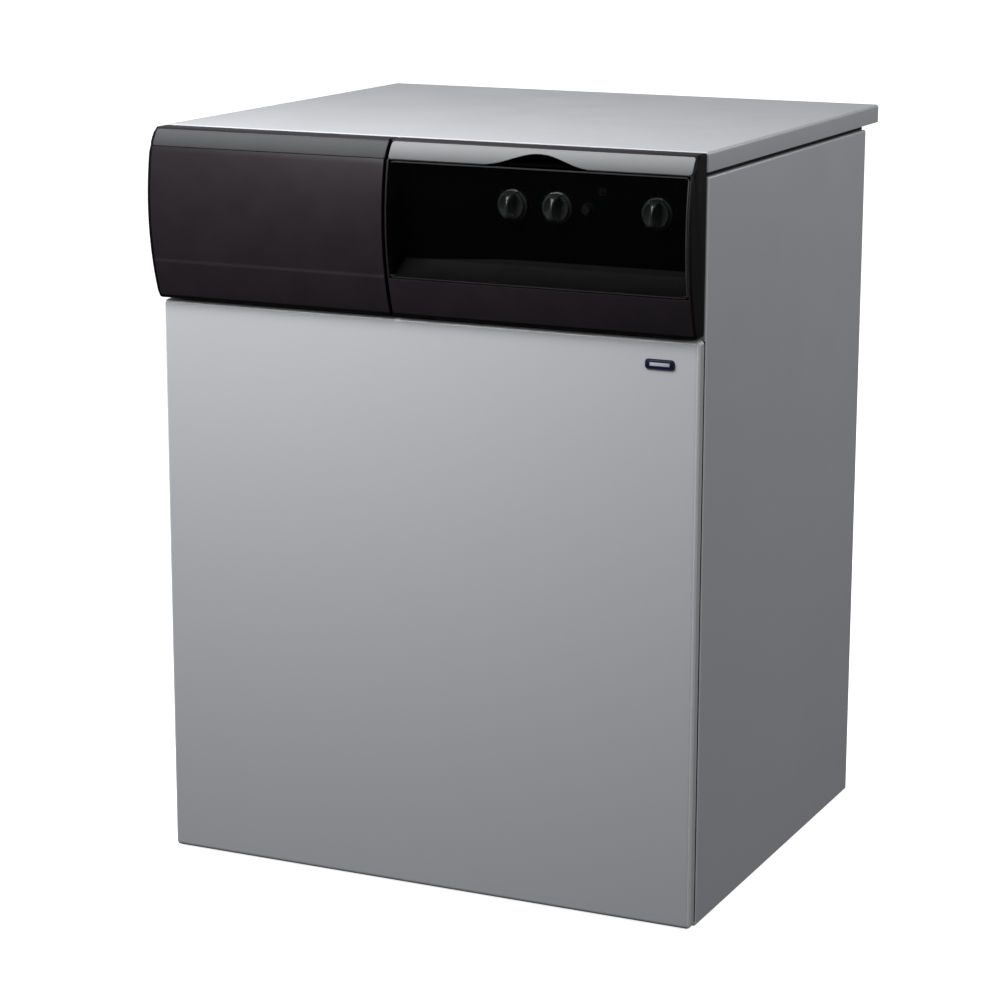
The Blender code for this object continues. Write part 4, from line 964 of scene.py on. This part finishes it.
CUP_FLOOR = ((-0.2868, 0.8315), (-0.278, 0.8318), (-0.2715, 0.8345))
CUP_REAR = ((-0.27, 0.84), (-0.272, 0.8445))


def make_finger_cup():
    """A scoop behind the notch, closed at both ends, in the near-lightless black that paints the shade inside
    the notch.
    """
    half = NOTCH_WIDTH / 2 - 0.004
    outer = [(y + 0.001, z - 0.0002) for y, z in CUP_FLOOR] + [(y + 0.0012, z) for y, z in CUP_REAR]
    inside = [*CUP_FLOOR, *CUP_REAR, (-0.28, 0.8455)]
    parts = [prism("scoop", [*inside, (-0.28, 0.8462), *reversed(outer)], NOTCH_X - half, NOTCH_X + half)]
    for side in (-1, 1):
        start = NOTCH_X + side * (half + HAIR)
        parts.append(prism("end", [*inside, (-0.2862, 0.84)], start, start + side * 0.001))
    place(joined("finger_cup", parts), "dark_plastic", "plate_and_shadow_black")


def make_recess_ledge():
    """The sloping floor of the recess, which climbs a little up the plate towards the right."""
    low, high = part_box("control_panel")
    plate = high.y - PLATE - 0.0003
    loops = []
    steps = 40
    for i in range(steps + 1):
        x = low.x + 0.0006 + (high.x - low.x - 0.005) * i / steps
        t = min(1.0, max(0.0, (x - low.x) / 0.15))
        climb = 0.006 * t * t * (3 - 2 * t)
        front = [(-0.2941, 0.7016), (plate - 0.001, 0.7169), (plate, 0.718), (plate, 0.7182 + climb)]
        rear = [(plate + 0.0002, 0.7182 + climb), (plate + 0.0002, 0.7176), (-0.2941, 0.7013)]
        loops.append([Vector((x, y, z)) for y, z in front + rear])
    place(loft("recess_ledge", loops), "dark_plastic", "ledge_grey")


def make_split_shadow_filler():
    """A black strip deep in the slot between the two covers, so that no light shows through it: painted shade
    that makes the slot read dark.
    """
    low = (SPLIT_START + TOUCH, -0.285, FASCIA_BOTTOM_Z + 0.001)
    high = (SPLIT_END - TOUCH, FASCIA_REAR_Y - 0.0002, FASCIA_TOP_Z - 0.0002)
    place(cuboid("split_shadow_filler", low, high, 0.0003, 2), "dark_plastic", "cap_and_shadow_black")


def make_end_caps():
    for name, side in (("fascia_left_end_cap", -1), ("fascia_right_end_cap", 1)):
        ends = (side * CAP_INNER_X, side * CAP_OUTER_X)
        shape, rings = skin_of([[(x, y, z) for y, z in cap_outline()] for x in ends])
        rim = [edge for edge in shape.edges if all(vert in rings[1] for vert in edge.verts)]
        round_edges(shape, rim, CAP_ROUNDING, 6, clamp_overlap=True)
        # painted shade: the caps' black is darker than the other black plastics
        place(as_object(f"{name}_shape", shape), "black_plastic", "cap_and_shadow_black", replaced=name)


# ---- flap and controls


PLATE = 0.002
FLAP_FOOT_Z = 0.7012
FLAP_SHEET = 0.003
FLAP_CORNER = 0.005
FLAP_BORDER = 0.0012
PIN_PLACE = (-0.2999, 0.7034)
PIN_RADIUS = 0.0007
PIN_OUT = 0.0007
PIN_IN = 0.006


def make_flap():
    """The smoked sheet with a painted highlight along its lower, right-hand and top edges, and its two hinge
    pins.
    """
    low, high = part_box("control_flap")
    span = (low.x, high.x, FLAP_FOOT_Z, high.z)
    sheet = curved_plate("flap_sheet", *span, front_y, FLAP_SHEET, 60, 40, FLAP_CORNER, lip=FLAP_BORDER)
    sheet = settled(rounded(sheet, 0.0006, 3, 40.0))

    # painted highlight: the top row, the lower row and the right-hand edge take paler opaque looks
    def border(face):
        x, _, z = face.center
        if z > high.z - FLAP_BORDER:
            return 2
        return z < FLAP_FOOT_Z + FLAP_BORDER or x > high.x - FLAP_BORDER

    paint(sheet, ("smoked_acrylic", "acrylic_painted_highlight", "acrylic_lip_painted_highlight"), border)
    place(sheet, "smoked_acrylic", body="flap", replaced="control_flap")
    pins = []
    for start, end in ((low.x - PIN_OUT, low.x + PIN_IN), (high.x - PIN_IN, high.x + PIN_OUT)):
        profile = [(0, start), (PIN_RADIUS, start), (PIN_RADIUS, end), (0, end)]
        pins.append(lathe("pin", (0, *PIN_PLACE), "X", profile, 20))
    place(joined("flap_hinge_pins", pins), "smoked_acrylic", "black_plastic", "flap")


KNOB_BACK_Y = -0.2673
KNOB_SHAFT = (0.003, -0.2588)
# Parts of the dial's section: radius and height over its back
KNOB_SKIRT = ((0.0171, 0.0), (0.0175, 0.0004), (0.0175, 0.0022), (0.017, 0.0032), (0.0156, 0.0038))
KNOB_RIM = ((0.0152, 0.0042), (0.0149, 0.0066), (0.0144, 0.0074), (0.0136, 0.0076), (0.0128, 0.0072))
KNOB_DISH = ((0.011, 0.0056), (0.008, 0.0044), (0.004, 0.004), (0.0, 0.004))
GRIP_FOOT_Y = KNOB_BACK_Y - 0.0036
GRIP_REACH = 0.015
GRIP_RISE = 0.0156
GRIP_LOWEST = 0.0006
GRIP_WIDEST = 0.009
GRIP_SHARES = (0.15, 0.38, 0.58, 0.74, 0.86, 0.94, 0.985, 1.0)
POINTER_HALF = 0.0004
POINTER_Z = (-0.005, 0.0004)


def make_knob(node):
    """A round knob: a thin skirt, a dished face inside a rim and a tapered grip with a pointer."""
    x, _, z = middle_of(node)
    radius, shaft_end = KNOB_SHAFT
    profile = [(0.0, shaft_end), (radius, shaft_end), (radius, KNOB_BACK_Y)]
    profile += [(radius, KNOB_BACK_Y - rise) for radius, rise in KNOB_SKIRT + KNOB_RIM + KNOB_DISH]
    dial = lathe(f"{node}_dial", (x, 0, z), "Y", profile, 72)
    loops = []
    for share in [-share for share in reversed(GRIP_SHARES)] + list(GRIP_SHARES):
        width = 0.002 + 0.0046 * abs(share) ** 2.2
        slope = 1 - 0.34 * max(0.0, share) ** 1.3
        rise = max(GRIP_RISE * slope * (1 - abs(share) ** 7) ** 0.5, GRIP_LOWEST)
        shoulder = GRIP_FOOT_Y - 0.72 * rise
        half = [
            (min(width * 2.0, GRIP_WIDEST), GRIP_FOOT_Y),
            (width * 1.15, GRIP_FOOT_Y * 0.6 + shoulder * 0.4),
            (width, shoulder),
            (width * 0.82, GRIP_FOOT_Y - rise),
        ]
        section = [(x - off, y) for off, y in half] + [(x + off, y) for off, y in reversed(half)]
        loops.append([Vector((place_x, y, z + GRIP_REACH * share)) for place_x, y in section])
    grip = settled(modify(loft(f"{node}_grip", loops), "SUBSURF", levels=2, render_levels=2))
    tip = GRIP_FOOT_Y - GRIP_RISE
    low = (x - POINTER_HALF, tip - 0.00005, z + POINTER_Z[0])
    high = (x + POINTER_HALF, tip + 0.0012, z + POINTER_Z[1])
    pointer = cuboid(f"{node}_pointer", low, high, 0.0001, 1)
    place(dial, "black_plastic", "knob_black", node, node)
    place(grip, "black_plastic", "knob_black", node)
    place(pointer, "black_plastic", "mark_grey", node)


def plate_front():
    """The front surface of the plate that the knobs stand on."""
    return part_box("control_panel")[1].y - PLATE


TICK_INNER = 0.019
TICK_DEPTH = 0.00012


def make_scale(name, x, z, first, last, count):
    """Fine printed ticks round a knob, from one angle to another, clockwise from the top."""
    ticks = []
    plate = plate_front() - HAIR
    for i in range(count):
        angle = math.radians(first + (last - first) * i / (count - 1))
        radial = Vector((math.sin(angle), 0, math.cos(angle)))
        side = Vector((math.cos(angle), 0, -math.sin(angle)))
        outer, half = (0.0222, 0.0003) if i == count - 1 or i % 5 == 0 else (0.0208, 0.00022)
        corners = ((TICK_INNER, -1), (outer, -1), (outer, 1), (TICK_INNER, 1))
        loops = []
        for y in (plate - TICK_DEPTH, plate):
            loops.append([radial * reach + side * sign * half + Vector((x, y, z)) for reach, sign in corners])
        ticks.append(loft("tick", loops))
    place(joined(name, ticks), "black_plastic", "mark_grey")


BUTTON_BACK_Y = -0.2697
BUTTON_STEM = (0.0026, -0.26)
# Sections about their axes: radius and height over the button's back or over the plate
BUTTON_CAP = ((0.0047, 0), (0.005, 0.0003), (0.005, 0.0038), (0.0046, 0.0044), (0.0038, 0.0045), (0, 0.0038))
BUTTON_COLLAR = ((0.0056, 0.00005), (0.0072, 0.00005), (0.0072, 0.001), (0.0066, 0.0016), (0.0056, 0.0016))
LAMP_COLLAR = ((0.0032, 0.00005), (0.0046, 0.00005), (0.0045, 0.0009), (0.004, 0.0013), (0.0032, 0.0013))


def make_controls():
    for node in ("mode_knob", "heating_knob", "hot_water_knob"):
        make_knob(node)
        x, _, z = middle_of(node)
        if node == "mode_knob":
            make_scale("mode_scale", x, z, -45, 90, 4)
        else:
            make_scale(f"{node}_scale", x, z, -135, 135, 11)
    x, _, z = middle_of("reset_button")
    radius, stem_end = BUTTON_STEM
    cap = [(0.0, stem_end), (radius, stem_end), (radius, BUTTON_BACK_Y)]
    cap += [(radius, BUTTON_BACK_Y - rise) for radius, rise in BUTTON_CAP]
    cap = lathe("reset_button_cap", (x, 0, z), "Y", cap)
    place(cap, "black_plastic", body="reset_button", replaced="reset_button")
    collars = (
        ("reset_button_collar", "reset_button", BUTTON_COLLAR),
        ("lamp_collar", "indicator_lamp", LAMP_COLLAR),
    )
    for name, node, section in collars:
        x, _, z = middle_of(node)
        profile = [(radius, plate_front() - rise) for radius, rise in section]
        place_ring(name, x, z, profile, "black_plastic")


# ---- details behind and inside


# A screw head's section: radius and height, as shares of its radius and of its rise
SCREW_HEAD = ((0, 0.0), (1, 0.0), (1, 0.35), (0.82, 0.8), (0.45, 1), (0, 1))


def screw_head(centre, axis, out, radius):
    """A pan head with a crossed slot, standing from centre towards out (+1 or -1) along axis."""
    rise = radius * 0.55
    profile = [(radius * across, out * rise * up) for across, up in SCREW_HEAD]
    head = lathe("head", centre, axis, profile, 24)
    across, up, along = AXES[axis]
    middle = Vector(centre) + along * out * rise
    cutters = []
    for direction, other in ((across, up), (up, across)):
        reach = direction * radius * 0.55 + other * radius * 0.1
        depth = along * out * rise * 0.45
        corners = [middle - reach - depth, middle + reach + depth]
        low = Vector([min(a, b) for a, b in zip(*corners)])
        high = Vector([max(a, b) for a, b in zip(*corners)])
        cutters.append(cuboid("tool", low, high))
    return settled(boolean(head, "DIFFERENCE", *cutters))


SCREW_INSET = 0.01
SIDE_SCREWS_Z = (0.24, 0.44, 0.6)
TOP_SCREWS_X = (-0.15, 0.0, 0.235)
FOOT_SCREWS_X = (-0.17, 0.02, 0.18)
BEAD_HEIGHTS = (0.36, 0.44, 0.52)
BEAD_HALF_LENGTH = 0.24
BEAD_HALF_WIDTH = 0.009
BEAD_RISE = 0.0035
# A pressed bead's section: half width and height, as shares
BEAD_SECTION = ((1.0, 0.0), (0.93, 0.25), (0.78, 0.68), (0.55, 0.92), (0.25, 1.0))
FLUE_Z = 0.715
# Sections about the flue's axis: radius and y
FLUE_BEAD = ((0.0651, 0.288), (0.0672, 0.289), (0.068, 0.2905), (0.0672, 0.292), (0.0651, 0.293))
FLUE_COLLAR = (
    (0.067, 0.2601), (0.078, 0.2601), (0.078, 0.2615),
    (0.07, 0.262), (0.069, 0.265), (0.067, 0.265),
)


def make_back_details():
    """Screws and pressed beads on the back panel, the flue's bead and collar, and the pipe fittings."""
    low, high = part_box("back_panel")
    y = high.y + HAIR
    foot, head = low.z + SCREW_INSET, high.z - SCREW_INSET
    places = []
    for z in (foot, *SIDE_SCREWS_Z, head):
        places += [(low.x + SCREW_INSET, z), (high.x - SCREW_INSET, z)]
    places += [(x, head) for x in TOP_SCREWS_X] + [(x, foot) for x in FOOT_SCREWS_X]
    heads = [screw_head((x, y, z), "Y", 1, 0.0042) for x, z in places]
    place(joined("back_panel_screws", heads), "galvanised_steel", "dark_steel")
    steps = 12
    for i, z in enumerate(BEAD_HEIGHTS):
        loops = []
        for share, height in BEAD_SECTION:
            reach = BEAD_HALF_WIDTH * share
            loop = []
            for end in (1, -1):
                for k in range(steps + 1):
                    angle = TURN / 4 * (-1 + 2 * k / steps)
                    along_x = end * (BEAD_HALF_LENGTH + reach * math.cos(angle))
                    loop.append(Vector((along_x, y + BEAD_RISE * height, z + end * reach * math.sin(angle))))
            loops.append(loop)
        place(loft(f"back_panel_bead_{i + 1}", loops), "galvanised_steel")
    x = middle_of("flue_spigot").x
    place_ring("flue_spigot_bead", x, FLUE_Z, FLUE_BEAD, "galvanised_steel", 96)
    place_ring("flue_collar", x, FLUE_Z, FLUE_COLLAR, "galvanised_steel", 96)
    make_pipe_fittings(y)


# Each pipe's place (x, z) at the back and its radius
PIPES = {
    "gas_inlet_pipe": (0.3, 0.055, 0.0075),
    "return_pipe": (0.047, 0.25, 0.0095),
    "pump_outlet_pipe": (-0.06, 0.055, 0.0095),
    "hot_water_pipe": (-0.177, 0.765, 0.0095),
    "cold_water_pipe": (-0.177, 0.15, 0.0095),
}
# The outer part of a grommet's section: radius and y from the back panel
GROMMET = ((0.015, -0.001), (0.015, 0.0004), (0.0185, 0.0004), (0.018, 0.0022))
UNION_Y = (0.274, 0.288)
UNION_WALL = 0.0048
# The sleeve's section: height over the pipe and y
SLEEVE = ((0.0002, 0.2882), (0.003, 0.2882), (0.003, 0.2925), (0.0014, 0.2945), (0.0002, 0.2945))


def make_pipe_fittings(back_y):
    """Rubber grommets in the back panel and brass unions at the pipes' ends."""
    for node, (x, z, radius) in PIPES.items():
        section = [(radius + 0.0003, -0.001), *GROMMET, (radius + 0.002, 0.0032), (radius + 0.0003, 0.003)]
        grommet = [(across, back_y + off) for across, off in section]
        place_ring(f"{node}_grommet", x, z, grommet, "rubber")
        union = nut(f"{node}_union", x, z, *UNION_Y, radius + UNION_WALL, radius + 0.0002)
        place(union, "brass")
        place_ring(f"{node}_sleeve", x, z, [(radius + rise, y) for rise, y in SLEEVE], "brass")


PLATE_SCREW_INSET = 0.008
# The vessel's seam: height over its skin and y from its middle
SEAM = ((0.0001, -0.004), (0.002, -0.0034), (0.0024, 0.0), (0.002, 0.0034), (0.0001, 0.004))
# Sections of the vessel's valve and the pump's vent screw: radius and height over the front
VESSEL_VALVE = ((0, -0.0004), (0.006, -0.0004), (0.006, 0.003), (0.004, 0.004), (0.004, 0.009), (0, 0.0095))
VENT_SCREW = ((0.0, 0.0001), (0.011, 0.0001), (0.011, 0.002), (0.0095, 0.003), (0.0, 0.003))
STRAP_HEIGHTS = (0.2, 0.4, 0.6)
STRAP = ((0.0002, -0.009), (0.001, -0.009), (0.001, 0.009), (0.0002, 0.009))
PUMP_SCREWS_RADIUS = 0.0408
PUMP_FLANGE_Y = -0.1566


def make_inner_details():
    """Fixings and fittings seen with the front panel or the lid off."""
    low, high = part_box("burner_front_plate")
    heads = []
    inset = PLATE_SCREW_INSET
    for x in (low.x + inset, (low.x + high.x) / 2 + 0.024, high.x - inset):
        for z in (low.z + inset, high.z - inset):
            heads.append(screw_head((x, low.y - HAIR, z), "Y", -1, 0.0038))
    place(joined("burner_plate_screws", heads), "stainless_steel", "dark_steel")
    low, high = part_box("expansion_vessel")
    x, middle, z = middle_of("expansion_vessel")
    radius = (high.x - low.x) / 2
    seam = [(radius + rise, middle + off) for rise, off in SEAM]
    place_ring("expansion_vessel_seam", x, z, seam, "red_enamel", 96)
    valve = [(radius, low.y - rise) for radius, rise in VESSEL_VALVE]
    place(lathe("expansion_vessel_valve", (x, 0, z), "Y", valve, 32), "black_plastic")
    low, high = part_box("cylinder_jacket")
    x, y, _ = middle_of("cylinder_jacket")
    radius = (high.x - low.x) / 2
    straps = []
    for z in STRAP_HEIGHTS:
        band = [(radius + rise, z + off) for rise, off in STRAP]
        straps.append(lathe("strap", (x, y, 0), "Z", band, 96, wrap=True))
    place(joined("cylinder_jacket_straps", straps), "stainless_steel")
    x, y, _ = middle_of("storage_cylinder")
    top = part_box("storage_cylinder")[1].z
    place(nut("cylinder_top_union", x, 0, top + 0.001, top + 0.013, 0.015, 0.0098, y, "Z"), "brass")
    x, _, z = middle_of("pump_motor")
    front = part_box("pump_motor")[0].y
    cap = [(radius, front - rise) for radius, rise in VENT_SCREW]
    place(lathe("pump_vent_screw", (x, 0, z), "Y", cap, 32), "brass")
    heads = []
    for i in range(4):
        angle = TURN * (i + 0.5) / 4
        across, up = PUMP_SCREWS_RADIUS * math.cos(angle), PUMP_SCREWS_RADIUS * math.sin(angle)
        heads.append(screw_head((x + across, PUMP_FLANGE_Y, z + up), "Y", -1, 0.0028))
    place(joined("pump_flange_screws", heads), "red_enamel", "dark_steel")
    for node in ("tie_rod_left", "tie_rod_right"):
        x, _, z = middle_of(node)
        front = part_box(node)[0].y
        rod_nut = nut(f"{node}_nut", x, z, front + 0.0008, front + 0.01, 0.0105, 0.0092)
        place(rod_nut, "stainless_steel", "dark_steel")


bpy.context.scene.view_settings.view_transform = "Standard"
make_camera()
make_world()
for light in LIGHTS:
    make_area_light(*light)
make_stage()
finish_cad_nodes()
make_casing()
make_badge()
make_fascia_left()
make_fascia_right()
make_split_shadow_filler()
make_end_caps()
make_recess_ledge()
make_flap()
make_controls()
make_back_details()
make_inner_details()
